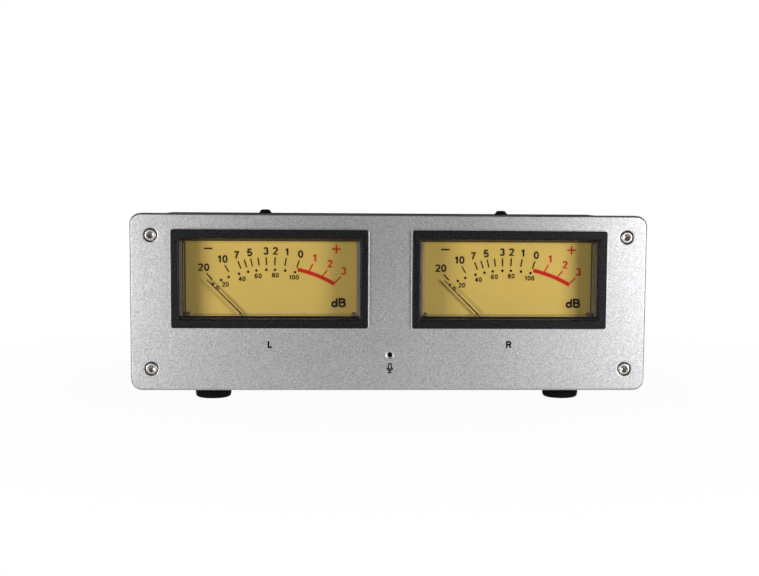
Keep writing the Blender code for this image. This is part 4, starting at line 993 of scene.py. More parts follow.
class LEVELMETER_OT_front_panel(bpy.types.Operator):
    """Make the blasted front panel with its windows, counterbores and sound hole"""

    bl_idname = "level_meter.front_panel"
    bl_label = "Front panel"

    def execute(self, context):
        front = settings().front
        low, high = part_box("front_panel")
        face, back = low.y, high.y
        width, height = high.x - low.x, high.z - low.z
        centre = ((low.x + high.x) / 2, (low.z + high.z) / 2)
        rim = eased([
            (1.6 * front.rim, face, 0), (front.rim, face, front.rim_round),
            (0, face + front.rim, front.rim_round), (0, back, front.back_edge), (2 * front.back_edge, back, 0)])
        chains = [[
            across(rounded(width - 2 * inset, height - 2 * inset, front.corner - inset), centre, along)
            for inset, along in rim]]
        for side in SIDES:
            chains.append(self.window(front, side, face, back))
            for level in LEVELS:
                spot = middle(f"panel_screw_{side}_{level}")
                chains.append(self.counterbore(front, (spot.x, spot.z), face, back))
        chains.append(self.sound_hole(front, (centre[0], low.z + front.mic_height), face, back))
        bm = bmesh.new()
        pierced(bm, chains)
        piece(fine("front_panel"), bm, blasted_silver(), "front_panel")
        return {"FINISHED"}

    def window(self, front, side, face, back):
        """Rings of one meter opening, with the low swell round the bezel."""
        low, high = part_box(f"meter_bezel_{side}")
        centre = ((low.x + high.x) / 2, (low.z + high.z) / 2)
        rings = []
        steps = 4
        for i in range(steps + 1):
            grow = front.swell_width * (1 - i / steps)
            rise = front.swell_height * math.sin(math.pi / 2 * i / steps)
            outline = rounded(
                high.x - low.x + 2 * grow, high.z - low.z + 2 * grow, front.window_corner + grow)
            ring = across(outline, centre, face)
            rings.append([
                (x, y - rise * (1.0 if abs(x) < abs(centre[0]) else front.swell_outer), z) for x, y, z in ring])
        opening = rounded(front.window_width, front.window_height, front.window_corner)
        rings.append(across(opening, centre, face - front.swell_height))
        rings.append(across(opening, centre, back))
        return rings

    def counterbore(self, front, centre, face, back):
        """Rings of one screw's counterbore and hole."""
        bore = front.counterbore / 2
        profile = eased([
            (bore + 0.5 * MM, face, 0), (bore, face + 0.05 * MM, 0.2 * MM), (bore, face + front.seat_depth, 0),
            (front.screw_hole / 2, face + front.seat_depth, 0), (front.screw_hole / 2, back, 0)])
        return [across(circle(2 * radius), centre, along) for radius, along in profile]

    def sound_hole(self, front, centre, face, back):
        """Rings of the microphone's countersunk hole and pocket."""
        wide = front.mic_countersink / 2
        hole = front.mic_hole / 2
        pocket = back - front.mic_pocket_depth
        profile = eased([
            (wide + 0.3 * MM, face, 0), (wide, face, 0.3 * MM), (hole, face + 0.24 * (wide - hole), 0.1 * MM),
            (hole, pocket, 0), (front.mic_pocket / 2, pocket, 0), (front.mic_pocket / 2, back, 0)])
        return [across(circle(2 * radius), centre, along) for radius, along in profile]


class LEVELMETER_OT_panel_marks(bpy.types.Operator):
    """Print a plain channel letter under each meter and a microphone sign under the sound hole"""

    bl_idname = "level_meter.panel_marks"
    bl_label = "Panel marks"

    def execute(self, context):
        front = settings().front
        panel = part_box("front_panel")[0]
        near, far = panel.y - 0.02 * MM, panel.y + 0.03 * MM
        bm = bmesh.new()
        for side, letter in zip(SIDES, "LR"):
            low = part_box(f"meter_bezel_{side}")[0]
            spot = (middle(f"meter_bezel_{side}").x, low.z - front.mark_drop)
            write(bm, letter, spot, front.mark_height, front.mark_line, near, far)
        self.microphone(bm, front, (0.0, panel.z + front.mic_height - 5.9 * MM), near, far)
        piece("panel_marks", bm, black_ink(), body="chassis")
        return {"FINISHED"}

    def microphone(self, bm, front, centre, near, far):
        """Sign of a capsule in its holder, on a stem."""
        unit = 1.5 * front.mark_height
        line = 0.7 * front.mark_line

        def spot(points):
            return [(centre[0] + u * unit, centre[1] + v * unit) for u, v in points]

        capsule = arc((0, 0.28), (0.15, 0.15), 0, 180, 8) + arc((0, 0.0), (0.15, 0.15), 180, 360, 8)
        draw(bm, spot(capsule), line, near, far, closed=True)
        draw(bm, spot(arc((0, 0.0), (0.29, 0.29), 180, 360, 12)), line, near, far)
        draw(bm, spot([(0, -0.29), (0, -0.5)]), line, near, far)
        draw(bm, spot([(-0.2, -0.5), (0.2, -0.5)]), line, near, far)


class LEVELMETER_OT_panel_screws(bpy.types.Operator):
    """Make the four bright socket cap screws"""

    bl_idname = "level_meter.panel_screws"
    bl_label = "Panel screws"

    def execute(self, context):
        for side in SIDES:
            for level in LEVELS:
                cap_screw(f"panel_screw_{side}_{level}")
        return {"FINISHED"}


class LEVELMETER_OT_meter_bezels(bpy.types.Operator):
    """Make both charcoal bezels with their collars"""

    bl_idname = "level_meter.meter_bezels"
    bl_label = "Meter bezels"

    def execute(self, context):
        for side in SIDES:
            self.bezel(side)
        return {"FINISHED"}

    def bezel(self, side):
        """One bezel, as a frame with an eased cross-section."""
        meters = settings().meters
        node = f"meter_bezel_{side}"
        low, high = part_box(node)
        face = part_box("front_panel")[0].y
        centre = ((low.x + high.x) / 2, (low.z + high.z) / 2)
        width, height = high.x - low.x, high.z - low.z
        seat = face - settings().front.swell_height - 0.02 * MM
        wall_x = (width - meters.window_width) / 2
        wall_z = (height - meters.window_height) / 2
        ratio = wall_z / wall_x
        collar = wall_x - meters.collar_wall
        profile = eased([
            (collar, seat, 0), (0, seat, 0.05 * MM), (0, low.y, meters.bezel_round),
            (wall_x, low.y, meters.window_round), (wall_x, face + meters.collar_reach, 0)])
        rings = []
        for inset, along in profile:
            rise = inset * ratio if inset < wall_x else wall_z
            corner = meters.bezel_corner + (meters.dial_corner - meters.bezel_corner) * inset / wall_x
            outline = rounded(width - 2 * inset, height - 2 * rise, corner)
            rings.append(across(outline, centre, along))
        outer = rounded(width - 2 * collar, height - 2 * (wall_z - meters.collar_wall), meters.bezel_corner)
        rings.append(across(outer, centre, face + meters.collar_reach))
        rings[0] = across(outer, centre, seat)
        bm = bmesh.new()
        skin(bm, rings, wrap=True)
        piece(fine(node), bm, grained_charcoal(), node)


class LEVELMETER_OT_meter_lenses(bpy.types.Operator):
    """Make both clear lens boxes"""

    bl_idname = "level_meter.meter_lenses"
    bl_label = "Meter lenses"

    def execute(self, context):
        for side in SIDES:
            self.lens(side)
        return {"FINISHED"}

    def lens(self, side):
        """One lens: a front plate with four walls behind it."""
        meters = settings().meters
        node = f"meter_lens_{side}"
        low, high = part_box(node)
        centre = ((low.x + high.x) / 2, (low.z + high.z) / 2)
        width, height = high.x - low.x, high.z - low.z
        wall = meters.lens_wall
        inner = low.y + meters.lens_plate
        ease = meters.lens_round
        profile = eased([
            (2 * ease, low.y, 0), (0, low.y, ease), (0, high.y, 0.01 * MM), (wall, high.y, 0.01 * MM),
            (wall, inner, ease), (wall + 2 * ease, inner, 0)], 3)
        rings = []
        for inset, along in profile:
            corner = max(0.15 * MM, meters.dial_corner - inset)
            rings.append(across(rounded(width - 2 * inset, height - 2 * inset, corner), centre, along))
        bm = bmesh.new()
        solid(bm, rings)
        piece(fine(node), bm, clear_acrylic(), node)


class LEVELMETER_OT_meter_liners(bpy.types.Operator):
    """Make the dark liners and bars behind the lens walls, which frame the dials as painted shade, and the pale
    strips there as a painted highlight
    """

    bl_idname = "level_meter.meter_liners"
    bl_label = "Meter liners"

    def execute(self, context):
        for side in SIDES:
            self.liner(side)
            self.fillers(side)
        return {"FINISHED"}

    def liner(self, side):
        """One thin frame behind the lens walls, dark brown as painted shade for the dial's rim in shadow."""
        meters = settings().meters
        low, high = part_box(f"meter_lens_{side}")
        opening = (*(-meters.liner_open,) * 3, meters.liner_brow)
        outline = (-meters.liner_flange,) * 4
        seat = high.y + 0.03 * MM
        rear = high.y + 0.28 * MM
        rings = []
        for (left, right, bottom, top), along in (
                (opening, seat), (outline, seat), (outline, rear), (opening, rear)):
            width = high.x - low.x - left - right
            height = high.z - low.z - bottom - top
            centre = (low.x + left + width / 2, low.z + bottom + height / 2)
            rings.append(across(rounded(width, height, meters.dial_corner), centre, along))
        bm = bmesh.new()
        skin(bm, rings, wrap=True)
        piece(f"meter_shade_liner_{side}", bm, painted_shade_brown(), body="chassis")

    def bar(self, name, first, last, seat, finish, slot):
        """One flat bar with eased edges, between two corners of the liner's plane."""
        width, height = last[0] - first[0], last[1] - first[1]
        centre = ((first[0] + last[0]) / 2, (first[1] + last[1]) / 2)
        edge = 0.06 * MM
        rear = seat + 0.25 * MM
        rings = []
        for inset, along in ((edge, seat), (0, seat + edge), (0, rear - edge), (edge, rear)):
            outline = rounded(width - 2 * inset, height - 2 * inset, 3 * edge)
            rings.append(across(outline, centre, along))
        bm = bmesh.new()
        solid(bm, rings)
        piece(name, bm, finish, body="chassis")

    def fillers(self, side):
        """Black bars behind the lower and outer walls of a lens, as painted shade, and pale strips behind both its
        sides, as a painted highlight.
        """
        meters = settings().meters
        low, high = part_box(f"meter_lens_{side}")
        seat = high.y + 0.03 * MM
        room = 0.05 * MM
        reach = meters.liner_open - room
        ends = (low.x - reach, high.x + reach)
        sill = low.z + meters.shade_seal
        top = high.z - meters.liner_brow - room
        # Painted shade: a black bar in the feet's rubber finish over the lens's lower edge.
        self.bar(f"meter_shade_seal_{side}", (ends[0], low.z), (ends[1], sill), seat, foot_rubber(), "rubber_black")
        outer, inner, inward = (*ends, 1) if side == "left" else (*ends[::-1], -1)
        rim = outer + inward * meters.edge_strip
        lip = outer + inward * (reach + meters.lens_wall + meters.liner_wall)
        uprights = (
            # The strip and edge bars are a painted highlight for the light that the lens walls catch.
            ("strip", inner - inward * meters.strip, inner, painted_highlight_grey(), "nylon_white"),
            ("edge", outer, rim, painted_highlight_grey(), "nylon_white"),
            # The lip is painted shade: a black bar behind the lens's outer wall.
            ("lip", rim + inward * room, lip, foot_rubber(), "rubber_black"))
        for name, start, end, finish, slot in uprights:
            first = (min(start, end), sill + room)
            last = (max(start, end), top)
            self.bar(f"meter_{name}_{side}", first, last, seat, finish, slot)


class LEVELMETER_OT_meter_dials(bpy.types.Operator):
    """Make both dial plates and print their scales"""

    bl_idname = "level_meter.meter_dials"
    bl_label = "Meter dials"

    levels = (
        ("20", -42.7), ("10", -30.6), ("7", -21.9), ("", -17.7), ("5", -13.5), ("", -8.6), ("3", -3.2),
        ("2", 2.8), ("1", 10.2), ("0", 18.8))
    red_levels = (("1", 27.8), ("2", 37.5), ("3", 46.4))
    percents = (
        ("0", -44.5), ("20", -38.3), ("", -32.6), ("40", -24.7), ("", -17.7), ("60", -11.3), ("", -3.6),
        ("80", 3.1), ("", 11.1), ("100", 18.6))

    def execute(self, context):
        for side in SIDES:
            self.plate(side)
            self.scale(side)
        return {"FINISHED"}

    def plate(self, side):
        """One dial plate with the holes for its post pins."""
        meters = settings().meters
        node = f"meter_dial_{side}"
        low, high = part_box(node)
        centre = ((low.x + high.x) / 2, (low.z + high.z) / 2)
        width, height = high.x - low.x, high.z - low.z
        chains = [[
            across(rounded(width - 2 * inset, height - 2 * inset, meters.dial_corner), centre, along)
            for inset, along in ((0.1 * MM, low.y), (0, low.y + 0.1 * MM), (0, high.y))]]
        reach_x = width / 2 - meters.pin_inset_x
        reach_z = height / 2 - meters.pin_inset_z
        hole = circle(meters.pin_hole, 24)
        caps = bmesh.new()
        for u in (-1, 1):
            for v in (-1, 1):
                spot = (centre[0] + u * reach_x, centre[1] + v * reach_z)
                chains.append([across(hole, spot, low.y), across(hole, spot, high.y)])
            self.cap(caps, meters, (centre[0] + u * reach_x, centre[1] + reach_z), low.y)
        bm = bmesh.new()
        pierced(bm, chains)
        piece(fine(node), bm, printed_gold(), node)
        piece(f"dial_caps_{side}", caps, printed_gold(), body="chassis")

    def cap(self, bm, meters, spot, face):
        """One gold cap over the tip of an upper pin."""
        tip = face - meters.cap_height
        base = face - 0.02 * MM
        edge = 0.2 * MM
        outer, bore = meters.cap / 2, meters.cap_bore / 2
        turned(bm, (
            (0, tip), (outer - edge, tip), (outer, tip + edge), (outer, base), (bore, base),
            (bore, tip + 0.1 * MM), (0, tip + 0.1 * MM)), spot, count=24)

    def scale(self, side):
        """Ticks, numerals, dots, red zone and signs of one dial."""
        meters = settings().meters
        pivot = pivot_of(f"needle_{side}")
        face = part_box(f"meter_dial_{side}")[0].y
        near, far = face - 0.03 * MM, face + 0.02 * MM
        black = bmesh.new()
        red = bmesh.new()

        def spot(angle, reach):
            """Point at a needle angle and a distance from the pivot."""
            turn = math.radians(angle)
            return Vector((pivot.x + reach * math.sin(turn), pivot.z + reach * math.cos(turn)))

        def reach_to(angle, radius):
            """Distance from the pivot to a scale arc at a needle angle."""
            turn = math.radians(angle)
            drop = meters.arc_drop
            return math.sqrt(radius ** 2 - (drop * math.sin(turn)) ** 2) - drop * math.cos(turn)

        for bm, marks in ((black, self.levels), (red, self.red_levels)):
            for label, angle in marks:
                start = reach_to(angle, meters.tick_arc)
                end = start + meters.tick_length
                draw(bm, [spot(angle, start), spot(angle, end)], meters.tick_line, near, far)
                lean = meters.numeral_lean * math.sin(math.radians(angle))
                place = spot(angle, end) + Vector((lean, meters.numeral_gap))
                write(bm, label, place, meters.numeral, meters.numeral_line, near, far)
        for label, angle in self.percents:
            reach = reach_to(angle, meters.dot_arc)
            outline = circle(meters.dot, 16)
            solid(black, [across(outline, spot(angle, reach), along) for along in (near, far)])
            place = spot(angle, reach - meters.small_gap) + Vector((meters.small_shift, 0.0))
            write(black, label, place, meters.small_numeral, meters.small_line, near, far)
        first, last = self.levels[-1][1] + 1.0, self.red_levels[-1][1] + 0.6
        steps = 16
        angles = [first + (last - first) * i / steps for i in range(steps + 1)]
        zone = [spot(angle, reach_to(angle, meters.red_arc)) for angle in angles]
        draw(red, zone, meters.red_line, near - 0.005 * MM, far)
        half = meters.sign_size / 2
        minus = (pivot.x - meters.minus_x, pivot.z + meters.sign_z)
        plus = (pivot.x + meters.plus_x, pivot.z + meters.sign_z)
        for bm, (x, z) in ((black, minus), (red, plus)):
            draw(bm, [(x - half, z), (x + half, z)], meters.sign_line, near, far)
        draw(red, [(plus[0], plus[1] - half), (plus[0], plus[1] + half)], meters.sign_line, near, far)
        unit = (pivot.x + meters.unit_x, pivot.z + meters.unit_z)
        write(black, "dB", unit, meters.unit, meters.unit_line, near, far)
        piece(f"dial_scale_{side}", black, black_ink(), body="chassis")
        piece(f"dial_red_zone_{side}", red, red_ink(), body="chassis")


class LEVELMETER_OT_needles(bpy.types.Operator):
    """Finish both needles with their hubs and coils"""

    bl_idname = "level_meter.needles"
    bl_label = "Needles"

    def execute(self, context):
        for side in SIDES:
            needle = softened(f"needle_{side}", needle_lacquer(), 0.05 * MM)
            self.slim(needle, side)
        return {"FINISHED"}

    def slim(self, needle, side):
        """Draw the pointer finer towards its tip. It rests half way between up and left."""
        pivot = pivot_of(f"needle_{side}")
        along = Vector((-1.0, 0.0, 1.0)).normalized()
        aside = Vector((1.0, 0.0, 1.0)).normalized()
        for vertex in needle.data.vertices:
            spoke = vertex.co - pivot
            if spoke.dot(along) > 12.0 * MM:
                vertex.co -= aside * spoke.dot(aside) * 0.35


class LEVELMETER_OT_meter_insides(bpy.types.Operator):
    """Finish the meter cases and movements behind the dials"""

    bl_idname = "level_meter.meter_insides"
    bl_label = "Meter insides"

    def execute(self, context):
        finishes = {
            "meter_case": moulded_black, "meter_yoke": bright_steel, "meter_core": sintered_grey,
            "meter_bridge": gilt_brass, "hairspring": gilt_brass, "meter_lamp": solder_mask}
        for kind, surface in finishes.items():
            for side in SIDES:
                dress(f"{kind}_{side}", surface())
        return {"FINISHED"}


class LEVELMETER_OT_case_shell(bpy.types.Operator):
    """Finish the cover, tray and rear panel with eased sheet edges"""

    bl_idname = "level_meter.case_shell"
    bl_label = "Case shell"

    def execute(self, context):
        props = settings()
        for node in ("top_cover", "chassis_tray"):
            softened(node, powder_coat(), props.case.edge)
        self.rear_panel(props)
        return {"FINISHED"}

    def rear_panel(self, props):
        """Rear plate with eased edges, and the holes for its screws, sockets and controls."""
        rear = props.rear
        edge = props.case.edge
        low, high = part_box("rear_panel")
        steps = ((edge, low.y), (0, low.y + edge), (0, high.y - edge), (edge, high.y))
        width, height = high.x - low.x, high.z - low.z
        spot = middle("rear_panel")
        chains = [[
            across(rounded(width - 2 * inset, height - 2 * inset, 2 * edge), (spot.x, spot.z), along)
            for inset, along in steps]]
        bores = {
            "line_socket_left": rear.socket_hole, "line_socket_right": rear.socket_hole,
            "power_inlet": rear.socket_hole, "selector_body": rear.selector_hole, "gain_pot": rear.gain_hole}
        for side in SIDES:
            for level in LEVELS:
                bores[f"rear_screw_{side}_{level}"] = props.front.screw_hole
        for node, bore in bores.items():
            spot = middle(node)
            chains.append([
                across(circle(bore + 2 * inset), (spot.x, spot.z), along) for inset, along in steps])
        low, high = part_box("power_switch")
        width = high.x - low.x - 2 * rear.switch_lap
        height = high.z - low.z - 2 * rear.switch_lap
        spot = middle("power_switch")
        chains.append([
            across(rounded(width + 2 * inset, height + 2 * inset, 2 * edge), (spot.x, spot.z), along)
            for inset, along in steps])
        bm = bmesh.new()
        pierced(bm, chains)
        piece(fine("rear_panel"), bm, powder_coat(), "rear_panel")


class LEVELMETER_OT_case_screws(bpy.types.Operator):
    """Make the black button-head screws of the cover and the rear panel"""

    bl_idname = "level_meter.case_screws"
    bl_label = "Case screws"

    def execute(self, context):
        for side in SIDES:
            button_screw(f"cover_screw_{side}", "Z")
            for level in LEVELS:
                button_screw(f"rear_screw_{side}_{level}", "Y")
        return {"FINISHED"}


class LEVELMETER_OT_feet(bpy.types.Operator):
    """Make the four rubber feet and their recessed screws"""

    bl_idname = "level_meter.feet"
    bl_label = "Feet"

    def execute(self, context):
        for end in ENDS:
            for side in SIDES:
                self.foot(f"foot_{end}_{side}")
                self.screw(f"foot_screw_{end}_{side}")
        return {"FINISHED"}

    def foot(self, node):
        """One tapered foot with a rounded lower rim and a screw recess."""
        case = settings().case
        low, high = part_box(node)
        centre = ((low.x + high.x) / 2, (low.y + high.y) / 2)
        wide = (high.x - low.x) / 2
        narrow = wide - case.foot_taper
        recess = case.foot_recess / 2
        hole = 1.8 * MM
        profile = eased([
            (hole, low.z + case.foot_recess_depth, 0), (recess, low.z + case.foot_recess_depth, 0.2 * MM),
            (recess, low.z, 0.4 * MM), (narrow, low.z, case.foot_edge), (wide, high.z, 0.3 * MM),
            (hole, high.z, 0), (hole, low.z + case.foot_recess_depth, 0)])
        rings = [across(circle(2 * radius, 64), centre, along, "Z") for radius, along in profile[:-1]]
        bm = bmesh.new()
        skin(bm, rings, wrap=True)
        piece(fine(node), bm, foot_rubber(), node)

    def screw(self, node):
        """One pan-head screw with a cross recess."""
        low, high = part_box(node)
        centre = ((low.x + high.x) / 2, (low.y + high.y) / 2)
        head = (high.x - low.x) / 2
        top = low.z + 2.2 * MM
        profile = eased([
            (0.12 * head, low.z + 1.2 * MM, 0), (0.45 * head, low.z + 0.12 * MM, 0), (0.55 * head, low.z, 0),
            (head, low.z + 0.35 * MM, 0.6 * MM), (head, top, 0.1 * MM), (1.5 * MM, top, 0),
            (1.5 * MM, high.z - 0.4 * MM, 0), (0.9 * MM, high.z, 0)])
        bm = bmesh.new()
        turned(bm, profile, centre, "Z")
        piece(fine(node), bm, bright_steel(), node)


class LEVELMETER_OT_line_sockets(bpy.types.Operator):
    """Make the two gilt line sockets with their nuts and coloured insulators"""

    bl_idname = "level_meter.line_sockets"
    bl_label = "Line sockets"

    def execute(self, context):
        for side, insulator in zip(SIDES, (moulded_white, moulded_red)):
            self.socket(side, insulator())
        return {"FINISHED"}

    def socket(self, side, insulator):
        """One socket: nut, shell, insulator and centre contact."""
        rear = settings().rear
        node = f"line_socket_{side}"
        low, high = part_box(node)
        centre = ((low.x + high.x) / 2, (low.z + high.z) / 2)
        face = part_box("rear_panel")[1].y + 0.3 * MM
        lip = face + 2.0 * MM
        outer = rear.shell / 2
        inner = outer - rear.shell_wall
        deep = high.y - 1.2 * MM
        body = 4.0 * MM
        bm = bmesh.new()
        solid(bm, [
            across(circle(1.2 * body), centre, low.y), across(circle(2 * body - 0.6 * MM), centre, low.y),
            across(circle(2 * body), centre, low.y + 0.3 * MM), across(circle(2 * body), centre, face),
            across(hexagon(rear.nut_flats), centre, face),
            across(hexagon(rear.nut_flats), centre, lip - 0.35 * MM),
            across(hexagon(rear.nut_flats - 0.7 * MM), centre, lip),
            across(circle(2 * outer), centre, lip), across(circle(2 * outer), centre, high.y - 0.35 * MM),
            across(circle(2 * outer - 0.2 * MM), centre, high.y - 0.08 * MM),
            across(circle(2 * outer - 0.5 * MM), centre, high.y),
            across(circle(2 * inner + 0.2 * MM), centre, high.y),
            across(circle(2 * inner), centre, high.y - 0.12 * MM), across(circle(2 * inner), centre, deep)])
        piece(fine(node), bm, gilt_brass(), node, crease=25.0)
        contact = rear.contact / 2
        bore = rear.bore / 2
        level = high.y - 0.5 * MM
        bm = bmesh.new()
        profile = eased([
            (contact, deep, 0), (inner - 0.03 * MM, deep, 0), (inner - 0.03 * MM, level, 0.2 * MM),
            (contact, level, 0.1 * MM), (contact, deep, 0)])
        skin(bm, [across(circle(2 * radius), centre, along) for radius, along in profile[:-1]], wrap=True)
        piece(f"line_insulator_{side}", bm, insulator, body="chassis")
        bm = bmesh.new()
        profile = eased([
            (0.2 * bore, high.y - 8.0 * MM, 0), (bore, high.y - 8.0 * MM, 0.2 * MM),
            (bore, high.y - 0.15 * MM, 0.15 * MM), (contact - 0.03 * MM, high.y - 0.15 * MM, 0.15 * MM),
            (contact - 0.03 * MM, high.y - 8.6 * MM, 0), (0.2 * bore, high.y - 8.6 * MM, 0)])
        turned(bm, profile, centre)
        piece(f"line_contact_{side}", bm, gilt_brass(), body="chassis")


class LEVELMETER_OT_power_fittings(bpy.types.Operator):
    """Make the power inlet, and finish the switch and its rocker"""

    bl_idname = "level_meter.power_fittings"
    bl_label = "Power fittings"

    def execute(self, context):
        self.inlet()
        softened("power_switch", moulded_black(), 0.25 * MM)
        softened("power_rocker", moulded_black(), 0.35 * MM)
        self.marks(settings().rear)
        return {"FINISHED"}

    def marks(self, rear):
        """Printed bar and ring on the two halves of the rocker, for on and off."""
        arm = math.sqrt(rear.rocker_radius ** 2 - rear.rocker_rise ** 2)
        slope = math.atan2(rear.rocker_rise - rear.rocker_dip, arm)
        place = Matrix.Translation(pivot_of("power_rocker")) @ Matrix.Rotation(-rear.rocker_tilt, 4, "X")
        half = rear.rocker_mark / 2
        ring = arc((0, 0), (half, half), 0, 360, 24)[:-1]
        for name, sign, points, closed in (
                ("rocker_bar", 1, [(0, -half), (0, half)], False), ("rocker_ring", -1, ring, True)):
            bm = bmesh.new()
            draw(bm, points, rear.rocker_line, -0.02 * MM, 0.03 * MM, closed)
            spot = Vector((0.0, (rear.rocker_dip + rear.rocker_rise) / 2, sign * arm / 2))
            lean = Matrix.Translation(spot) @ Matrix.Rotation(-sign * slope, 4, "X")
            bmesh.ops.transform(bm, matrix=place @ lean, verts=bm.verts[:])
            piece(name, bm, white_ink(), body="power_rocker")

    def inlet(self):
        """Round inlet with a flange, a bore and a centre pin."""
        low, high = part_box("power_inlet")
        centre = ((low.x + high.x) / 2, (low.z + high.z) / 2)
        flange = (high.x - low.x) / 2
        face = high.y - 2.0 * MM
        body, bore, pin = 4.0 * MM, 2.8 * MM, 1.0 * MM
        floor = high.y - 9.0 * MM
        bm = bmesh.new()
        profile = eased([
            (0.5 * body, low.y, 0), (body, low.y, 0.3 * MM), (body, face, 0), (flange, face, 0.15 * MM),
            (flange, high.y, 0.6 * MM), (bore + 0.5 * MM, high.y, 0.1 * MM), (bore, high.y - 0.5 * MM, 0.1 * MM),
            (bore, floor, 0), (0.3 * bore, floor, 0)])
        turned(bm, profile, centre)
        piece(fine("power_inlet"), bm, moulded_black(), "power_inlet")
        bm = bmesh.new()
        top = high.y - 1.0 * MM
        profile = eased([
            (0.5 * pin, floor + 0.02 * MM, 0), (pin, floor + 0.02 * MM, 0), (pin, top, 0.5 * MM),
            (0.2 * pin, top, 0)])
        turned(bm, profile, centre)
        piece("power_inlet_pin", bm, bright_steel(), body="chassis")


class LEVELMETER_OT_selector(bpy.types.Operator):
    """Finish the source selector with its nut and lever"""

    bl_idname = "level_meter.selector"
    bl_label = "Source selector"

    def execute(self, context):
        rear = settings().rear
        softened("selector_body", bright_steel(), 0.2 * MM)
        spot = middle("selector_body")
        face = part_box("rear_panel")[1].y
        hex_nut(
            "selector_nut", (spot.x, spot.z), 6.5 * MM, rear.small_nut_flats, face + 0.05 * MM,
            rear.nut_thickness)
        self.lever()
        return {"FINISHED"}

    def lever(self):
        """Bright lever with a ball in the bushing and a round tip."""
        pivot = pivot_of("selector_lever")
        ball, root, tip, reach = 2.0 * MM, 1.0 * MM, 1.5 * MM, 12.0 * MM
        start = math.degrees(math.asin(root / ball))
        profile = [(radius, along) for along, radius in arc((0, 0), (ball, ball), 176, start, 14)]
        profile += [(radius, reach - tip + along) for along, radius in arc((0, 0), (tip, tip), 110, 4, 12)]
        bm = bmesh.new()
        turned(bm, profile, (0, 0), "Z", 32)
        lean = Matrix.Rotation(math.radians(-90.0 - 12.0), 4, "X")
        bmesh.ops.transform(bm, matrix=Matrix.Translation(pivot) @ lean, verts=bm.verts[:])
        piece(fine("selector_lever"), bm, bright_steel(), "selector_lever")


class LEVELMETER_OT_gain_control(bpy.types.Operator):
    """Make the gain knob with its grip and pointer line, the shaft, the nut and the printed ticks"""

    bl_idname = "level_meter.gain_control"
    bl_label = "Gain control"

    def execute(self, context):
        rear = settings().rear
        softened("gain_pot", bright_steel(), 0.2 * MM)
        dress("gain_shaft", bright_steel())
        low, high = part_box("gain_knob")
        centre = ((low.x + high.x) / 2, (low.z + high.z) / 2)
        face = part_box("rear_panel")[1].y
        hex_nut("gain_nut", centre, 9.1 * MM, rear.knob_nut_flats, face + 0.05 * MM, rear.nut_thickness)
        self.knob(rear, centre, low, high)
        self.ticks(centre, face)
        return {"FINISHED"}

    def knob(self, rear, centre, low, high):
        """Fluted knob with a plain skirt, a dished end and a white pointer line."""
        wide = high.x - low.x
        flutes = rear.knob_flutes
        count = 6 * flutes
        skirt = low.y + 2.2 * MM

        def ring(diameter, along, groove=0.0):
            return across(fluted(diameter, groove, flutes, count), centre, along)

        grip = wide - 1.0 * MM
        rings = [
            ring(6.6 * MM, high.y - 5.0 * MM), ring(6.6 * MM, low.y), ring(wide - 0.6 * MM, low.y),
            ring(wide, low.y + 0.3 * MM), ring(wide, skirt - 0.3 * MM), ring(wide - 0.6 * MM, skirt),
            ring(grip, skirt + 0.15 * MM), ring(grip, skirt + 0.6 * MM, rear.knob_groove),
            ring(grip - 0.3 * MM, high.y - 1.0 * MM, rear.knob_groove), ring(grip - 0.5 * MM, high.y - 0.7 * MM),
            ring(grip - 1.1 * MM, high.y - 0.2 * MM), ring(grip - 1.9 * MM, high.y),
            ring(grip - 3.0 * MM, high.y), ring(grip - 4.0 * MM, high.y - 0.25 * MM)]
        bm = bmesh.new()
        solid(bm, rings)
        piece(fine("gain_knob"), bm, moulded_black(), "gain_knob")
        bm = bmesh.new()
        bar = [(0.0, 0.45 * grip - 1.6 * MM), (0.0, 0.18 * grip)]
        points = [(centre[0] + u, centre[1] + v) for u, v in bar]
        draw(bm, points, 0.9 * MM, high.y - 0.6 * MM, high.y - 0.2 * MM)
        piece("gain_pointer_line", bm, white_ink(), body="gain")

    def ticks(self, centre, face):
        """Printed ticks round the knob, over its turn of 300 degrees."""
        bm = bmesh.new()
        count = 11
        for i in range(count):
            turn = math.radians(-150.0 + 300.0 * i / (count - 1))
            way = Vector((math.sin(turn), math.cos(turn)))
            spot = Vector(centre)
            draw(
                bm, [spot + way * 9.0 * MM, spot + way * 10.4 * MM], 0.45 * MM, face - 0.02 * MM,
                face + 0.03 * MM)
        piece("gain_ticks", bm, white_ink(), body="chassis")


class LEVELMETER_OT_inside_parts(bpy.types.Operator):
    """Finish the circuit board, its supports, the cover pillars and the microphone"""

    bl_idname = "level_meter.inside_parts"
    bl_label = "Inside parts"

    def execute(self, context):
        dress("main_board", solder_mask())
        dress("mic_capsule", foot_rubber())
        for side in SIDES:
            dress(f"cover_pillar_{side}", gilt_brass())
            for end in ENDS:
                dress(f"board_support_{end}_{side}", natural_nylon())
        return {"FINISHED"}


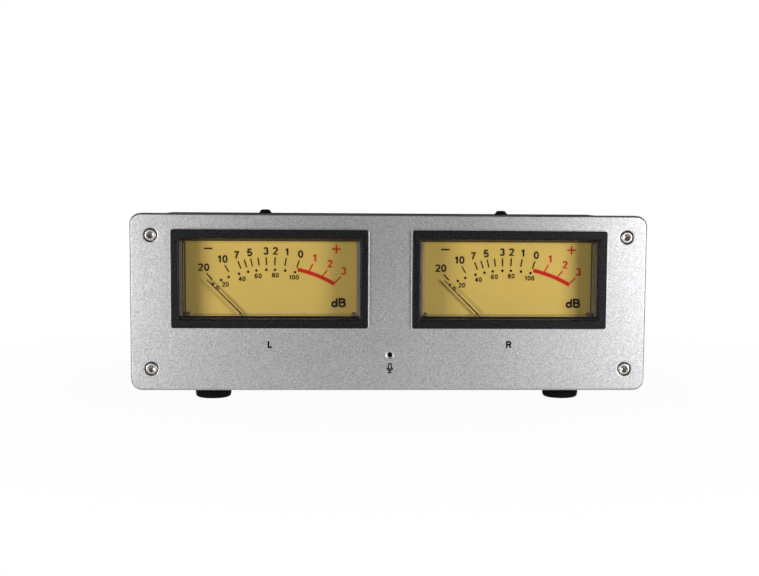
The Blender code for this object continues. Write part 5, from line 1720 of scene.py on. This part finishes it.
class LEVELMETER_OT_stage(bpy.types.Operator):
    """Set the pale floor, the soft light and the camera"""

    bl_idname = "level_meter.stage"
    bl_label = "Stage"

    def execute(self, context):
        stage = settings().stage
        scene = context.scene
        self.camera(stage, scene)
        self.floor(stage, scene)
        self.world(stage, scene)
        size = (stage.lamp_width, stage.lamp_height)
        for side, power, sign in (("left", stage.lamp_left, -1), ("right", stage.lamp_right, 1)):
            front = (sign * stage.lamp_x, -stage.lamp_y, stage.lamp_z)
            self.lamp(f"lamp_{side}", scene, front, size, power)
            rear = (1.4 * sign * stage.lamp_x, 1.4 * stage.lamp_y, 0.8 * stage.lamp_z)
            self.lamp(f"lamp_rear_{side}", scene, rear, size, stage.lamp_rear)
        top = self.lamp("lamp_top", scene, (0.0, 0.1, 1.0), (1.0, 1.0), stage.lamp_top)
        top.visible_glossy = False
        scene.view_settings.view_transform = "Standard"
        return {"FINISHED"}

    def camera(self, stage, scene):
        """Camera at the photographed view."""
        camera = bpy.data.objects.new("camera", bpy.data.cameras.new("camera"))
        scene.collection.objects.link(camera)
        camera.data.lens = stage.lens
        camera.data.sensor_width = 36.0
        camera.data.shift_x = stage.shift_x
        camera.data.shift_y = stage.shift_y
        camera.data.clip_start = 0.01
        camera.location = stage.place
        camera.rotation_euler = stage.turn
        scene.camera = camera

    def lamp(self, name, scene, place, size, power):
        """Soft lamp that looks at the object."""
        lamp = bpy.data.lights.new(name, "AREA")
        lamp.shape = "RECTANGLE"
        lamp.size, lamp.size_y = size
        lamp.energy = power
        item = bpy.data.objects.new(name, lamp)
        scene.collection.objects.link(item)
        item.location = place
        target = Vector((0.0, 0.0, 0.05))
        item.rotation_euler = (target - Vector(place)).to_track_quat("-Z", "Y").to_euler()
        item.visible_camera = False
        return item

    def floor(self, stage, scene):
        """Pale floor that keeps the object's shadow and goes over into the white background."""
        bm = bmesh.new()
        bmesh.ops.create_circle(bm, cap_ends=True, segments=96, radius=30.0)
        mesh = bpy.data.meshes.new("floor")
        bm.to_mesh(mesh)
        bm.free()
        floor = bpy.data.objects.new("floor", mesh)
        floor.location.z = -0.02 * MM
        scene.collection.objects.link(floor)
        surface = Surface("pale_floor")
        mesh.materials.append(surface.material)
        tree = surface.tree
        place = add(tree, "ShaderNodeTexCoord").outputs["Object"]
        away = add(tree, "ShaderNodeVectorMath", {0: place}, operation="LENGTH").outputs["Value"]
        white = spread(tree, away, 0.13, 0.32, stage.floor_white, 1.0)
        bright = spread(tree, away, 0.26, 0.42, stage.floor_mirror, stage.mirror)
        seen = self.seen(tree, bright)
        glow = add(tree, "ShaderNodeEmission", {"Color": (1.0, 1.0, 1.0, 1.0), "Strength": 1.0})
        factor = compute(tree, "MULTIPLY", seen, white)
        surface.set(Base_Color=stage.floor, Roughness=0.9)
        mixed = add(tree, "ShaderNodeMixShader", {
            0: factor, 1: surface.shader.outputs["BSDF"], 2: glow.outputs["Emission"]})
        tree.links.new(mixed.outputs["Shader"], tree.nodes["Material Output"].inputs["Surface"])

    def seen(self, tree, mirrored):
        """How white the background is: full for the camera, and a share of that in metal and glass."""
        path = add(tree, "ShaderNodeLightPath").outputs
        either = compute(tree, "MAXIMUM", path["Is Glossy Ray"], path["Is Transmission Ray"])
        return compute(tree, "MAXIMUM", path["Is Camera Ray"], compute(tree, "MULTIPLY", either, mirrored))

    def world(self, stage, scene):
        """White background, weak even light, and a dim ceiling for polished pieces to mirror."""
        world = bpy.data.worlds.new("studio")
        world.use_nodes = True
        scene.world = world
        tree = world.node_tree
        way = add(tree, "ShaderNodeTexCoord").outputs["Generated"]
        rise = add(tree, "ShaderNodeSeparateXYZ", {0: way}).outputs["Z"]
        level = spread(tree, rise, 0.2, 0.7, stage.ambient, stage.ceiling)
        background = tree.nodes["Background"]
        seen = self.seen(tree, stage.mirror)
        tree.links.new(compute(tree, "MAXIMUM", level, seen), background.inputs["Strength"])
        background.inputs["Color"].default_value = (1.0, 1.0, 1.0, 1.0)


STEPS = (
    LEVELMETER_OT_front_panel, LEVELMETER_OT_panel_marks, LEVELMETER_OT_panel_screws,
    LEVELMETER_OT_meter_bezels, LEVELMETER_OT_meter_lenses, LEVELMETER_OT_meter_liners,
    LEVELMETER_OT_meter_dials,
    LEVELMETER_OT_needles, LEVELMETER_OT_meter_insides, LEVELMETER_OT_case_shell,
    LEVELMETER_OT_case_screws, LEVELMETER_OT_feet, LEVELMETER_OT_line_sockets,
    LEVELMETER_OT_power_fittings, LEVELMETER_OT_selector, LEVELMETER_OT_gain_control,
    LEVELMETER_OT_inside_parts, LEVELMETER_OT_stage)


class LEVELMETER_PT_sidebar(bpy.types.Panel):
    """Operators and settings of the level meter"""

    bl_idname = "LEVELMETER_PT_sidebar"
    bl_label = "Level meter"
    bl_space_type = "VIEW_3D"
    bl_region_type = "UI"
    bl_category = "Level meter"

    def draw(self, context):
        for step in STEPS:
            self.layout.operator(step.bl_idname)
        for title in ("front", "meters", "case", "rear", "stage"):
            box = self.layout.box()
            box.label(text=title.title())
            group = getattr(context.scene.level_meter, title)
            for key in group.__annotations__:
                box.prop(group, key)


CLASSES = (
    FrontSettings, MeterSettings, CaseSettings, RearSettings, StageSettings, LevelMeterSettings, *STEPS,
    LEVELMETER_PT_sidebar)


def register():
    """Register the settings, operators and panel."""
    for item in CLASSES:
        bpy.utils.register_class(item)
    bpy.types.Scene.level_meter = PointerProperty(type=LevelMeterSettings)


def unregister():
    """Take the settings, operators and panel away again."""
    del bpy.types.Scene.level_meter
    for item in reversed(CLASSES):
        bpy.utils.unregister_class(item)


def main():
    """Register, and run every operator in order."""
    register()
    for step in STEPS:
        group, name = step.bl_idname.split(".")
        getattr(getattr(bpy.ops, group), name)()


if __name__ == "__main__":
    main()
